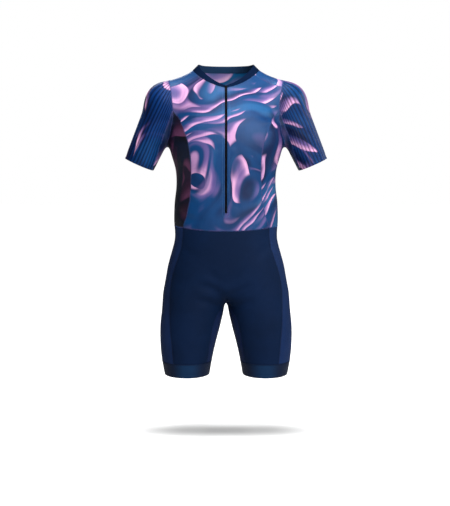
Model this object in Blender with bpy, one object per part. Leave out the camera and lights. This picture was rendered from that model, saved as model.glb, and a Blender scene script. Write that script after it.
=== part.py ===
"""A short-sleeved triathlon suit with a front zip, in the form it has when worn.

Units are metres. +Z is up, -Y is the suit's front and +X the wearer's left. The origin lies
between the shoulders, at the root of the neck, where the wearer carries the suit.

The cloth follows one body form, a field that is zero on the outside of the cloth. Every seam is
a curve on that form, every panel is a patch between its seams, and every wall is the patch moved
inwards along the form's own slope, so neighbours meet with an even gap.
"""

import math

import bmesh
import bpy
import numpy as np

PANEL_WALL = 0.0016
BAND_WALL = 0.0020
COLLAR_WALL = 0.0022
TAPE_WALL = 0.0010
SEAM_GAP = 0.0003

FRONT = -1.0
BACK = 1.0

# Which end of a rim's edge its two triangles share: the same on both sides of a seam.
RIM_ORDER = np.array((0.0, 0.37, 1.0))
RIM_ORDER_ASIDE = 0.11

WAIST_FRONT_Z = -0.455
WAIST_SIDE_Z = -0.449
WAIST_BACK_Z = -0.447
CROTCH_Z = -0.668
FORK_Z = -0.672
BAND_TOP_Z = -0.855
HEM_Z = -0.8965
NECK_FRONT_Z = -0.047
ZIP_END_Z = -0.402
SLIT_HALF = 0.0035

# Counts of mesh steps along each seam, shared by the panels on both its sides.
ACROSS = 8
SLIT_ROWS = 12
FLY_ROWS = 2
NECK_FRONT_STEPS = 5
NECK_BACK_STEPS = 7
SIDE_ROWS = 14
ARMHOLE_FRONT_STEPS = 6
ARMHOLE_BACK_STEPS = 10
SIDE_ACROSS = 6
SIDE_SPLIT = 2
ARMHOLE_LOW_STEPS = SIDE_ACROSS * SIDE_SPLIT
BACK_RISE = 17
SEAT_ROWS = 8
INSEAM_ROWS = 6
GUSSET_ACROSS = 6
SLEEVE_ROWS = 10
RIB_SPLIT = 3
RIB_HEIGHT = 0.0010
RIB_FADE_AT_SEAMS = 3.0
RIB_FADE_AT_HEM = 3.0
RIB_FADE_AT_ARMHOLE = 8.0

# Height, half width, depth in front, depth behind and squareness of the trunk.
TRUNK = (
    (0.040, 0.060, 0.048, 0.066, 2.0),
    (0.000, 0.078, 0.058, 0.078, 2.0),
    (-0.040, 0.104, 0.071, 0.090, 2.0),
    (-0.080, 0.134, 0.091, 0.104, 2.2),
    (-0.120, 0.152, 0.108, 0.113, 2.4),
    (-0.160, 0.164, 0.1185, 0.1165, 2.6),
    (-0.200, 0.169, 0.1225, 0.1155, 2.6),
    (-0.240, 0.160, 0.121, 0.111, 2.5),
    (-0.285, 0.148, 0.116, 0.1035, 2.4),
    (-0.330, 0.146, 0.112, 0.097, 2.3),
    (-0.380, 0.1515, 0.1095, 0.094, 2.3),
    (-0.430, 0.1535, 0.1085, 0.0955, 2.3),
    (-0.480, 0.151, 0.1085, 0.103, 2.3),
    (-0.530, 0.157, 0.108, 0.113, 2.3),
    (-0.580, 0.164, 0.105, 0.120, 2.3),
    (-0.630, 0.156, 0.096, 0.118, 2.2),
    (-0.680, 0.130, 0.078, 0.100, 2.1),
    (-0.730, 0.100, 0.060, 0.080, 2.0),
)

# Height, centre across, centre fore and aft, half width, half depth and squareness of a leg.
LEG = (
    (-0.460, 0.078, 0.004, 0.056, 0.070, 2.2),
    (-0.520, 0.080, 0.006, 0.070, 0.086, 2.2),
    (-0.580, 0.087, 0.008, 0.083, 0.098, 2.2),
    (-0.640, 0.094, 0.007, 0.092, 0.102, 2.2),
    (-0.700, 0.099, 0.0045, 0.0925, 0.0985, 2.15),
    (-0.750, 0.107, 0.002, 0.0895, 0.093, 2.1),
    (-0.800, 0.1135, 0.001, 0.083, 0.087, 2.1),
    (-0.850, 0.117, 0.001, 0.0755, 0.080, 2.0),
    (-0.900, 0.117, 0.002, 0.067, 0.0735, 2.0),
    (-0.950, 0.117, 0.002, 0.060, 0.067, 2.0),
)
LEG_TOP_Z = -0.50
LEG_AXIS = (0.117, 0.001)

ARM_TILT = math.radians(24.0)
ARM_AXIS = np.array((math.sin(ARM_TILT), 0.0, -math.cos(ARM_TILT)))
ARM_OUT = np.array((math.cos(ARM_TILT), 0.0, math.sin(ARM_TILT)))
SLEEVE_END = np.array((0.2554, 0.002, -0.2693))
SLEEVE_LENGTH = 0.195
SHOULDER = SLEEVE_END - SLEEVE_LENGTH * ARM_AXIS - np.array((0.0015, 0.0, 0.0))
SHOULDER_RADIUS = 0.0560
SLEEVE_END_RADIUS = 0.0450
ARM_BEYOND = 0.060
ARM_DEPTH = 1.08
NECK_ROOT = np.array((0.050, 0.012, -0.0335))
NECK_ROOT_RADIUS = 0.047
YOKE_END_RADIUS = 0.0590

# How far apart two forms start to melt into each other.
YOKE_MELT = 0.05
ARM_MELT = 0.022
LEG_MELT = 0.03
FORK_MELT = 0.006
CROTCH_MELT = 0.05

# Seams as places across and heights, from bottom to top, seen from the front.
SIDE_SEAM = (
    (0.1245, -0.449),
    (0.1065, -0.3795),
    (0.1015, -0.3275),
    (0.1005, -0.287),
    (0.103, -0.2325),
    (0.109, -0.198),
    (0.120, -0.168),
    (0.1355, -0.1325),
    (0.153, -0.111),
)
SHORTS_SEAM = (
    (0.155, -0.855),
    (0.159, -0.802),
    (0.164, -0.746),
    (0.165, -0.682),
    (0.162, -0.618),
    (0.154, -0.580),
    (0.141, -0.5415),
    (0.128, -0.495),
    (0.1245, -0.449),
)
INSEAM = (
    (0.0585, -0.855),
    (0.0545, -0.839),
    (0.048, -0.791),
    (0.040, -0.748),
    (0.031, -0.718),
    (0.013, -0.690),
    (0.000, -0.672),
)

# The armhole lies in a sheet that bows towards the chest: place across at each height.
ARMHOLE_SHEET = (
    (0.000, 0.169),
    (-0.026, 0.1655),
    (-0.050, 0.160),
    (-0.080, 0.1555),
    (-0.111, 0.153),
    (-0.140, 0.155),
    (-0.170, 0.161),
    (-0.209, 0.172),
    (-0.260, 0.184),
)
ARMHOLE_CENTRE = (0.003, -0.115)
ARMHOLE_FRONT_TURN = math.radians(86.0)
SHOULDER_SEAM_TURN = math.radians(33.0)
UNDERARM_TURN = math.radians(155.0)

# The neckline by turn round the neck, from the front (-90 degrees) to the back: height.
NECK_CENTRE = (0.0, 0.010)
NECK_HALF = (0.096, 0.084)
NECKLINE = (
    (-90.0, -0.047),
    (-70.0, -0.0375),
    (-50.0, -0.0245),
    (-32.0, -0.0115),
    (-15.0, -0.001),
    (0.0, 0.003),
    (30.0, 0.0045),
    (60.0, 0.0035),
    (90.0, 0.0025),
)
SHOULDER_SEAM_AT_NECK = -32.0

# Collar by turn round the neck: its width and how far it leans in, in degrees.
COLLAR = (
    (-90.0, 0.0085, 30.0),
    (-75.0, 0.012, 34.0),
    (-50.0, 0.018, 42.0),
    (0.0, 0.024, 45.0),
    (90.0, 0.022, 24.0),
)
COLLAR_ROWS = 2

TAPE_HALF = 0.012
CHAIN_HALF = 0.0025
CHAIN_PROUD = 0.0003
STOP_LENGTH = 0.006

SLIDER_PLACE_Z = -0.046
SLIDER_WIDTH = 0.0080
SLIDER_LENGTH = 0.0120
SLIDER_PLATE = 0.0016
SLIDER_LIFT = 0.0008
POST_WIDTH = 0.0040
POST_LENGTH = 0.0070
BRIDGE_WIDTH = 0.0014
BRIDGE_WALL = 0.0010
BRIDGE_REACH = 0.0034
PULL_WALL = 0.0012
PULL_CLEAR = 0.0006
PULL_LENGTH = 0.0240
PULL_WIDTH = 0.0060
PULL_RAIL = 0.0012
PULL_EYE = 0.0050

# Name of each finish: red, green, blue, roughness, metallic.
FINISHES = {
    "printed_jersey": (0.045, 0.105, 0.235, 0.42, 0.0),
    "ribbed_jersey": (0.040, 0.085, 0.195, 0.50, 0.0),
    "side_jersey": (0.020, 0.045, 0.120, 0.50, 0.0),
    "navy_jersey": (0.010, 0.020, 0.062, 0.60, 0.0),
    "navy_side_jersey": (0.013, 0.026, 0.078, 0.58, 0.0),
    "band_elastic": (0.012, 0.045, 0.110, 0.55, 0.0),
    "collar_band": (0.008, 0.014, 0.045, 0.60, 0.0),
    "zip_black": (0.008, 0.008, 0.010, 0.45, 0.0),
}


def clear_scene():
    """Remove what a new file opens with."""
    for thing in list(bpy.data.objects):
        bpy.data.objects.remove(thing, do_unlink=True)


def finish(name):
    """One principled material from the table above, made once."""
    material = bpy.data.materials.get(name)
    if material is None:
        red, green, blue, roughness, metallic = FINISHES[name]
        material = bpy.data.materials.new(name)
        material.use_nodes = True
        shader = material.node_tree.nodes["Principled BSDF"]
        shader.inputs["Base Color"].default_value = (red, green, blue, 1.0)
        shader.inputs["Roughness"].default_value = roughness
        shader.inputs["Metallic"].default_value = metallic
    return material


def smooth_table(rows, at):
    """Read a table's columns at any value of its first column, with an even slope throughout."""
    table = np.array(sorted(rows), float)
    knots = table[:, 0]
    slopes = np.gradient(table, knots, axis=0)
    held = np.clip(at, knots[0], knots[-1])
    row = np.clip(np.searchsorted(knots, held) - 1, 0, len(knots) - 2)
    span = knots[row + 1] - knots[row]
    t = ((held - knots[row]) / span)[..., None]
    start, end = table[row], table[row + 1]
    rise, fall = slopes[row] * span[..., None], slopes[row + 1] * span[..., None]
    cubic = 2.0 * (start - end) + rise + fall
    square = 3.0 * (end - start) - 2.0 * rise - fall
    return np.moveaxis((start + t * (rise + t * (square + t * cubic)))[..., 1:], -1, 0)


def oval_distance(x, y, half_width, half_depth, squareness):
    """Distance to a squarish oval about the origin, measured along the line from its centre."""
    reach = np.hypot(x, y) + 1e-9
    size = (np.abs(x / half_width) ** squareness + np.abs(y / half_depth) ** squareness)
    return reach * (1.0 - size ** (-1.0 / squareness))


def melt(one, other, reach):
    """The nearer of two distances, rounded over where they come within reach of each other."""
    blend = np.maximum(reach - np.abs(one - other), 0.0) / reach
    return np.minimum(one, other) - blend * blend * reach / 4.0


def cone_distance(points, start, end, start_radius, end_radius):
    """Distance to a cone with ball ends."""
    axis = end - start
    length = np.linalg.norm(axis)
    axis = axis / length
    lean = (start_radius - end_radius) / length
    upright = math.sqrt(1.0 - lean * lean)
    along = (points - start) @ axis
    aside = np.sqrt(np.maximum(((points - start) ** 2).sum(-1) - along * along, 1e-14))
    foot = along - aside * lean / upright
    held = np.clip(foot, 0.0, length)
    radius = start_radius - lean * held
    middle = aside * upright + along * lean - start_radius
    ball = np.hypot(aside, along - held) - radius
    return np.where((foot > 0.0) & (foot < length), middle, ball)


def body(points):
    """Field of the worn suit: negative inside, zero on the outside of the cloth."""
    x, y, z = np.abs(points[..., 0]), points[..., 1], points[..., 2]
    half, front, back, square = smooth_table(TRUNK, z)
    trunk = oval_distance(x, y, half, np.where(y < 0.0, front, back), square)
    trunk = -melt(-trunk, z - CROTCH_Z, CROTCH_MELT)
    centre_x, centre_y, leg_half, leg_depth, leg_square = smooth_table(LEG, z)
    near_leg = oval_distance(x - centre_x, y - centre_y, leg_half, leg_depth, leg_square)
    far_leg = oval_distance(x + centre_x, y - centre_y, leg_half, leg_depth, leg_square)
    legs = melt(near_leg, far_leg, FORK_MELT)
    legs = -melt(-legs, LEG_TOP_Z - z, 2.0 * LEG_MELT)
    folded = np.stack((x, y, z), -1)
    yoke = cone_distance(folded, NECK_ROOT, SHOULDER, NECK_ROOT_RADIUS, YOKE_END_RADIUS)
    flat = np.stack((x, (y - SHOULDER[1]) / ARM_DEPTH + SHOULDER[1], z), -1)
    narrowing = (SHOULDER_RADIUS - SLEEVE_END_RADIUS) / SLEEVE_LENGTH
    arm = cone_distance(
        flat,
        SHOULDER,
        SLEEVE_END + ARM_BEYOND * ARM_AXIS,
        SHOULDER_RADIUS,
        SLEEVE_END_RADIUS - ARM_BEYOND * narrowing,
    )
    whole = melt(trunk, legs, LEG_MELT)
    whole = melt(whole, yoke, YOKE_MELT)
    return melt(whole, arm, ARM_MELT)


def slope(points, step=0.0004):
    """Slope of the body field at each point."""
    found = np.empty(points.shape)
    for axis in range(3):
        shift = np.zeros(3)
        shift[axis] = step
        found[..., axis] = (body(points + shift) - body(points - shift)) / (2.0 * step)
    return found


def outward(points):
    """Unit normals of the body form."""
    found = slope(points)
    return found / np.linalg.norm(found, axis=-1, keepdims=True)


def settle(points, lock_x=False, rounds=10, stride=0.015):
    """Move points onto the body form, each along the form's own slope."""
    points = points.copy()
    for _ in range(rounds):
        steep = slope(points)
        if lock_x:
            steep[..., 0] = 0.0
        move = (body(points) / ((steep ** 2).sum(-1) + 1e-9))[..., None] * steep
        size = np.linalg.norm(move, axis=-1, keepdims=True)
        points -= move * np.minimum(1.0, stride / np.maximum(size, 1e-9))
    return points


def last_inside(place, reach):
    """Where a ray leaves the body: place(t) gives its points, t runs from 0 to reach."""
    low = np.zeros(reach.shape)
    high = reach.copy()
    for _ in range(36):
        middle = (low + high) / 2.0
        inside = body(place(middle)) < 0.0
        low = np.where(inside, middle, low)
        high = np.where(inside, high, middle)
    return place((low + high) / 2.0)


def smooth_line(rows, count=160):
    """A dense smooth curve through a few rows."""
    rows = np.array(rows, float)
    run = np.concatenate(([0.0], np.cumsum(np.linalg.norm(np.diff(rows, axis=0), axis=1))))
    table = [tuple((r, *row)) for r, row in zip(run, rows)]
    return np.stack(smooth_table(table, np.linspace(0.0, run[-1], count)), -1)


def spread(points, steps):
    """Points at equal steps along a dense line, its two ends kept."""
    run = np.concatenate(([0.0], np.cumsum(np.linalg.norm(np.diff(points, axis=0), axis=1))))
    at = np.linspace(0.0, run[-1], steps + 1)
    return np.stack([np.interp(at, run, points[:, axis]) for axis in range(3)], -1)


def seen_seam(rows, side, steps):
    """A seam given by places across and heights, laid on the front or back of the body."""
    line = smooth_line(rows)
    across, height = line[:, 0], line[:, 1]

    def place(t):
        return np.stack((across, side * t, height), -1)

    return spread(last_inside(place, np.full(across.shape, 0.2)), steps)


def centre_line(heights, side, across=0.0):
    """Points on the suit's centre, or just beside it, at the given heights."""
    heights = np.array(heights, float)

    def place(t):
        return np.stack((np.full(t.shape, across), side * t, heights), -1)

    return last_inside(place, np.full(heights.shape, 0.2))


def ring_arc(centre, start_turn, end_turn, start_z, end_z, steps):
    """An arc round a trunk or a leg, between two turns and two heights."""
    part = np.linspace(0.0, 1.0, 120)
    turn = start_turn + (end_turn - start_turn) * part
    height = start_z + (end_z - start_z) * part

    def place(t):
        return np.stack((centre[0] + t * np.cos(turn), centre[1] + t * np.sin(turn), height), -1)

    return spread(last_inside(place, np.full(part.shape, 0.3)), steps)


def armhole_arc(start_turn, end_turn, steps):
    """Part of the armhole. Turns start at the top of the shoulder and go forwards and down."""
    turn = np.linspace(start_turn, end_turn, 120)

    def place(t):
        height = ARMHOLE_CENTRE[1] + t * np.cos(turn)
        across = smooth_table(ARMHOLE_SHEET, height)[0]
        return np.stack((across, ARMHOLE_CENTRE[0] - t * np.sin(turn), height), -1)

    return spread(last_inside(place, np.full(turn.shape, 0.16)), steps)


def neckline_arc(start_turn, end_turn, steps):
    """Part of the neckline, by turns in degrees from the front (-90) to the back (90)."""
    turn = np.linspace(start_turn, end_turn, 120)
    height = smooth_table(NECKLINE, turn)[0]
    angle = np.radians(turn)
    guess = np.stack(
        (
            NECK_CENTRE[0] + NECK_HALF[0] * np.cos(angle),
            NECK_CENTRE[1] + NECK_HALF[1] * np.sin(angle),
            height,
        ),
        -1,
    )
    return spread(settle(guess), steps)


def sleeve_hem(start_turn, end_turn, steps):
    """Part of the sleeve's hem. Turns start on its outer side and go forwards and in."""
    turn = np.linspace(start_turn, end_turn, steps + 1)[:, None]
    depth = np.array((0.0, -ARM_DEPTH, 0.0))
    direction = ARM_OUT * np.cos(turn) + depth * np.sin(turn)

    def place(t):
        return SLEEVE_END + t[:, None] * direction

    return last_inside(place, np.full(steps + 1, 0.08))


def between(bottom, top, left, right):
    """A grid of values between four lines of them. Lines run left to right and upwards."""
    u = np.linspace(0.0, 1.0, len(bottom))[None, :, None]
    v = np.linspace(0.0, 1.0, len(left))[:, None, None]
    level = (1.0 - v) * bottom[None] + v * top[None]
    upright = (1.0 - u) * left[:, None] + u * right[:, None]
    corners = (1.0 - v) * ((1.0 - u) * bottom[0] + u * bottom[-1])
    corners = corners + v * ((1.0 - u) * top[0] + u * top[-1])
    return level + upright - corners


def patch(bottom, top, left, right):
    """A grid of points between four seams, settled on the body."""
    grid = between(bottom, top, left, right)
    grid[1:-1, 1:-1] = settle(grid[1:-1, 1:-1])
    grid[0], grid[-1], grid[:, 0], grid[:, -1] = bottom, top, left, right
    return grid


def even_patch(bottom, top, left, right, refine=4):
    """A settled grid whose columns are then each cut into equal steps."""
    rows = len(left) - 1
    fine = patch(bottom, top, finer(left, refine), finer(right, refine))
    columns = [spread(fine[:, column], rows) for column in range(fine.shape[1])]
    grid = np.stack(columns, axis=1)
    grid[1:-1, 1:-1] = settle(grid[1:-1, 1:-1])
    grid[0], grid[-1], grid[:, 0], grid[:, -1] = bottom, top, left, right
    return grid


def arm_patch(bottom, top, left, right):
    """A grid between four seams under the arm, laid out by turn round the arm and by length."""
    flat = []
    for line in (bottom, top, left, right):
        apart = line - SHOULDER
        turn = np.arctan2(-apart[:, 1], apart @ ARM_OUT) % (2.0 * math.pi)
        flat.append(np.stack((turn, apart @ ARM_AXIS), -1))
    turn, along = np.moveaxis(between(*flat), -1, 0)
    start = SHOULDER + along[..., None] * ARM_AXIS
    forward = np.array((0.0, -1.0, 0.0))
    direction = ARM_OUT * np.cos(turn)[..., None] + forward * np.sin(turn)[..., None]

    def place(t):
        return start + t[..., None] * direction

    grid = last_inside(place, np.full(turn.shape, 0.08))
    grid[0], grid[-1], grid[:, 0], grid[:, -1] = bottom, top, left, right
    return grid


def join(*lines):
    """One line from several that follow each other."""
    parts = [lines[0]] + [line[1:] for line in lines[1:]]
    return np.concatenate(parts)


def finer(line, split):
    """The same line with each step cut into equal shorter ones."""
    at = np.arange((len(line) - 1) * split + 1) / split
    known = np.arange(len(line))
    return np.stack([np.interp(at, known, line[:, axis]) for axis in range(3)], -1)


class Sheet:
    """An open surface: points, the way inwards at each, and triangles seen from outside."""

    def __init__(self, points, inwards, faces):
        self.points = points
        self.inwards = inwards
        self.faces = faces

    @classmethod
    def from_grid(cls, grid, inwards, flip=False):
        """A sheet from a grid whose rows go up and whose columns go to the right, as seen."""
        rows, columns = grid.shape[:2]
        points = grid.reshape(-1, 3)
        index = np.arange(rows * columns).reshape(rows, columns)
        corners = (index[:-1, :-1], index[:-1, 1:], index[1:, 1:], index[1:, :-1])
        a, b, c, d = [corner.ravel() for corner in corners]
        rising = np.linalg.norm(points[a] - points[c], axis=1)
        falling = np.linalg.norm(points[b] - points[d], axis=1)
        short = (rising <= falling)[:, None]
        first = np.where(short, np.stack((a, b, c), -1), np.stack((a, b, d), -1))
        second = np.where(short, np.stack((a, c, d), -1), np.stack((b, c, d), -1))
        faces = np.concatenate((first, second))
        if flip:
            faces = faces[:, ::-1]
        return cls(points, inwards.reshape(-1, 3), faces)

    def mirrored(self):
        """The same sheet on the wearer's other side."""
        other = np.array((-1.0, 1.0, 1.0))
        return Sheet(self.points * other, self.inwards * other, self.faces[:, ::-1])

    def with_mirror(self):
        """The sheet and its mirror image as one, joined where they meet on the centre."""
        count = len(self.points)
        shared = np.abs(self.points[:, 0]) < 1e-7
        number = np.where(shared, np.arange(count), count + np.cumsum(~shared) - 1)
        twin = self.mirrored()
        points = np.concatenate((self.points, twin.points[~shared]))
        inwards = np.concatenate((self.inwards, twin.inwards[~shared]))
        inwards[: count][shared, 0] = 0.0
        points[: count][shared, 0] = 0.0
        return Sheet(points, inwards, np.concatenate((self.faces, number[twin.faces])))

    def closed_round(self, columns):
        """A sheet whose first and last columns are the same points, as a ring without the last."""
        row, column = np.divmod(self.faces, columns)
        kept = np.arange(len(self.points)) % columns < columns - 1
        faces = row * (columns - 1) + column % (columns - 1)
        return Sheet(self.points[kept], self.inwards[kept], faces)

    def rim(self):
        """The edges that only one face has, as pairs in that face's own direction."""
        ends = np.concatenate([self.faces[:, (k, (k + 1) % 3)] for k in range(3)])
        known = {(int(a), int(b)) for a, b in ends}
        return [edge for edge in sorted(known) if (edge[1], edge[0]) not in known]

    def drawn_in(self, distance):
        """The sheet with its whole rim moved in along the surface."""
        pulls = np.zeros((len(self.points), 2, 3))
        for a, b in self.rim():
            along = self.points[b] - self.points[a]
            for slot, end in ((1, a), (0, b)):
                pull = np.cross(-self.inwards[end], along)
                pulls[end, slot] = pull / np.linalg.norm(pull)
        total = pulls.sum(axis=1)
        spread_out = np.maximum(1.0 + (pulls[:, 0] * pulls[:, 1]).sum(-1), 0.25)
        return Sheet(self.points + distance * total / spread_out[:, None], self.inwards, self.faces)

    def wall(self, thickness, raised=None):
        """Points and faces of a closed wall. Raised lifts the outer points alone."""
        count = len(self.points)
        outer = self.points
        if raised is not None:
            outer = outer - raised[:, None] * self.inwards
        points = np.concatenate((outer, self.points + thickness * self.inwards))
        faces = [tuple(int(i) for i in face) for face in self.faces]
        faces += [tuple(int(i) + count for i in face[::-1]) for face in self.faces]
        order = self.points @ RIM_ORDER + abs(self.points[:, 0]) * RIM_ORDER_ASIDE
        for a, b in self.rim():
            if order[a] < order[b]:
                faces += [(b, a, b + count), (a, a + count, b + count)]
            else:
                faces += [(b, a, a + count), (b, a + count, b + count)]
        return points, faces


def make_object(name, points, faces, finish_name, parent, smooth=True):
    """An object of the given name from points and faces."""
    mesh = bpy.data.meshes.new(name)
    mesh.from_pydata([tuple(point) for point in points.tolist()], [], faces)
    mesh.update()
    mesh.materials.append(finish(finish_name))
    thing = bpy.data.objects.new(name, mesh)
    bpy.context.collection.objects.link(thing)
    thing.parent = parent
    if smooth:
        mesh.shade_smooth()
        mesh.set_sharp_from_angle(angle=math.radians(40.0))
    return thing


def cloth(name, sheet, thickness, finish_name, parent, raised=None):
    """A cloth wall from a sheet, half the seam gap short of every seam."""
    points, faces = sheet.drawn_in(SEAM_GAP / 2.0).wall(thickness, raised)
    return make_object(name, points, faces, finish_name, parent)


def pair(name, sheet, thickness, finish_name, parent, raised=None):
    """The same cloth wall on the wearer's left and right."""
    cloth(name + "_left", sheet, thickness, finish_name, parent, raised)
    cloth(name + "_right", sheet.mirrored(), thickness, finish_name, parent, raised)


class Seams:
    """Every seam of the suit's left half as points on the body form."""

    def __init__(self):
        self.armhole_front = armhole_arc(ARMHOLE_FRONT_TURN, SHOULDER_SEAM_TURN, ARMHOLE_FRONT_STEPS)
        self.armhole_back = armhole_arc(SHOULDER_SEAM_TURN, -ARMHOLE_FRONT_TURN, ARMHOLE_BACK_STEPS)
        low_end = 2.0 * math.pi - ARMHOLE_FRONT_TURN
        self.armhole_low = armhole_arc(ARMHOLE_FRONT_TURN, low_end, ARMHOLE_LOW_STEPS)

        self.side_front = self.side_seam(FRONT, self.armhole_low[0])
        self.side_back = self.side_seam(BACK, self.armhole_low[-1])

        turn = SHOULDER_SEAM_AT_NECK
        neck_start = math.degrees(math.acos(SLIT_HALF / NECK_HALF[0]))
        self.neck_front = neckline_arc(-neck_start, turn, NECK_FRONT_STEPS)
        self.neck_back = neckline_arc(turn, 90.0, NECK_BACK_STEPS)
        self.neck_back[-1, 0] = 0.0
        shoulder = np.linspace(self.neck_front[-1], self.armhole_front[-1], ACROSS + 1)
        shoulder[1:-1] = settle(shoulder[1:-1])
        self.shoulder = shoulder

        self.waist_front = self.waist(FRONT, WAIST_FRONT_Z, self.side_front[0])
        self.waist_back = self.waist(BACK, WAIST_BACK_Z, self.side_back[0])
        self.waist_side = self.turn_arc((0.0, 0.0), self.side_front[0], self.side_back[0], SIDE_ACROSS)

        rows = SEAT_ROWS + INSEAM_ROWS
        self.shorts_front = seen_seam(SHORTS_SEAM, FRONT, rows)
        self.shorts_back = seen_seam(SHORTS_SEAM, BACK, rows)
        self.shorts_front[-1] = self.side_front[0]
        self.shorts_back[-1] = self.side_back[0]
        self.inseam_front = seen_seam(INSEAM, FRONT, INSEAM_ROWS)
        self.inseam_back = seen_seam(INSEAM, BACK, INSEAM_ROWS)
        self.inseam_front[-1, 0] = 0.0
        self.inseam_back[-1, 0] = 0.0

        front, back = self.shorts_front[0], self.shorts_back[0]
        inner_front, inner_back = self.inseam_front[0], self.inseam_back[0]
        self.band_front = self.turn_arc(LEG_AXIS, inner_front, front, ACROSS)
        self.band_side = self.turn_arc(LEG_AXIS, front, back, SIDE_ACROSS)
        self.band_back = self.turn_arc(LEG_AXIS, back, inner_back, ACROSS)
        self.band_inner = self.turn_arc(LEG_AXIS, inner_back, inner_front, GUSSET_ACROSS)

        part = np.linspace(0.0, 1.0, GUSSET_ACROSS + 1)[:, None]
        crotch = self.inseam_front[-1] + part * (self.inseam_back[-1] - self.inseam_front[-1])
        crotch[1:-1] = settle(crotch[1:-1], lock_x=True)
        self.crotch = crotch

        self.sleeve_front = self.under_seam(self.armhole_low[0], UNDERARM_TURN)
        self.sleeve_back = self.under_seam(self.armhole_low[-1], -UNDERARM_TURN)

    def side_seam(self, side, end):
        """A torso seam from the waist to where it meets the armhole."""
        line = seen_seam(SIDE_SEAM, side, SIDE_ROWS)
        line[-1] = end
        return line

    def waist(self, side, centre_z, end):
        """The waist seam from the centre to a side seam."""
        part = np.linspace(0.0, 1.0, 100)
        rows = np.stack((end[0] * part, centre_z + (end[2] - centre_z) * part ** 2), -1)
        line = seen_seam(rows, side, ACROSS)
        line[0, 0] = 0.0
        line[-1] = end
        return line

    def turn_arc(self, centre, start, end, steps):
        """The short way round a trunk or leg from one seam's end to another's, by turn."""
        first = math.atan2(start[1] - centre[1], start[0] - centre[0])
        last = math.atan2(end[1] - centre[1], end[0] - centre[0])
        if last < first:
            last += 2.0 * math.pi
        line = ring_arc(centre, first, last, start[2], end[2], steps)
        line[0], line[-1] = start, end
        return line

    def under_seam(self, start, turn):
        """The seam under the arm, from the armhole to the sleeve's hem."""
        end = sleeve_hem(turn, turn, 1)[0]
        line = start + np.linspace(0.0, 1.0, 60)[:, None] * (end - start)
        line[1:-1] = settle(line[1:-1])
        line = spread(line, SLEEVE_ROWS)
        line[-1] = end
        return line


def neck_inwards(seams):
    """The way inwards along the neckline, halfway between the chest's and the collar's own."""
    line = join(seams.neck_front, seams.neck_back)
    chest = outward(line)
    face = collar_face(line, chest)
    both = chest + face
    return -both / np.linalg.norm(both, axis=-1, keepdims=True)


def collar_rise(line):
    """Width of the collar and the direction in which it rises, at each point of the neckline."""
    turn = np.degrees(np.arctan2(line[:, 1] - NECK_CENTRE[1], line[:, 0]))
    width, lean = smooth_table(COLLAR, turn)
    lean = np.radians(lean)
    inner = np.stack((NECK_CENTRE[0] - line[:, 0], NECK_CENTRE[1] - line[:, 1]), -1)
    inner = inner / np.linalg.norm(inner, axis=-1, keepdims=True)
    rise = np.concatenate((inner * np.sin(lean)[:, None], np.cos(lean)[:, None]), axis=1)
    return width, rise


def collar_face(line, chest):
    """The collar's own outward normals along the neckline."""
    rise = collar_rise(line)[1]
    along = np.gradient(line, axis=0)
    face = np.cross(along, rise)
    face = face / np.linalg.norm(face, axis=-1, keepdims=True)
    return face * np.sign((face * chest).sum(-1, keepdims=True))


def build_front(seams, parent):
    """Front panel in one piece, slit down its centre for the zip."""
    fly = np.linspace(WAIST_FRONT_Z, ZIP_END_Z - SLIT_HALF, FLY_ROWS + 1)
    slit = np.linspace(ZIP_END_Z, NECK_FRONT_Z, SLIT_ROWS + 1)
    below = centre_line(fly, FRONT)
    below[0] = seams.waist_front[0]
    beside = centre_line(slit, FRONT, SLIT_HALF)
    beside[-1] = seams.neck_front[0]
    left = join(np.concatenate((below, beside)), seams.neck_front)
    right = join(seams.side_front, seams.armhole_front)
    grid = patch(seams.waist_front, seams.shoulder, left, right)
    inwards = -outward(grid)
    neck_rows = NECK_FRONT_STEPS + 1
    inwards[-neck_rows:, 0] = neck_inwards(seams)[:neck_rows]
    half = Sheet.from_grid(grid, inwards)
    cloth("front_panel", half.with_mirror(), PANEL_WALL, "printed_jersey", parent)
    return grid, inwards


def build_back(seams, parent):
    """Back panel, which comes forward over the shoulders."""
    top = seams.neck_back[-1]
    centre = centre_line(np.linspace(WAIST_BACK_Z, top[2], BACK_RISE + 1), BACK)
    centre[0], centre[-1] = seams.waist_back[0], top
    left = join(centre, seams.neck_back[::-1])
    right = join(seams.side_back, seams.armhole_back[::-1])
    grid = patch(seams.waist_back, seams.shoulder, left, right)
    inwards = -outward(grid)
    inwards[-(NECK_BACK_STEPS + 1):, 0] = neck_inwards(seams)[NECK_FRONT_STEPS:][::-1]
    half = Sheet.from_grid(grid, inwards, flip=True)
    cloth("back_panel", half.with_mirror(), PANEL_WALL, "printed_jersey", parent)


def build_sides(seams, parent):
    """Side panels from the waist up to the armpits."""
    waist = finer(seams.waist_side, SIDE_SPLIT)
    grid = patch(waist, seams.armhole_low, seams.side_front, seams.side_back)
    inwards = -outward(grid)
    inwards[0] = finer(-outward(seams.waist_side), SIDE_SPLIT)
    sheet = Sheet.from_grid(grid, inwards)
    pair("side_panel", sheet, PANEL_WALL, "side_jersey", parent)


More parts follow.
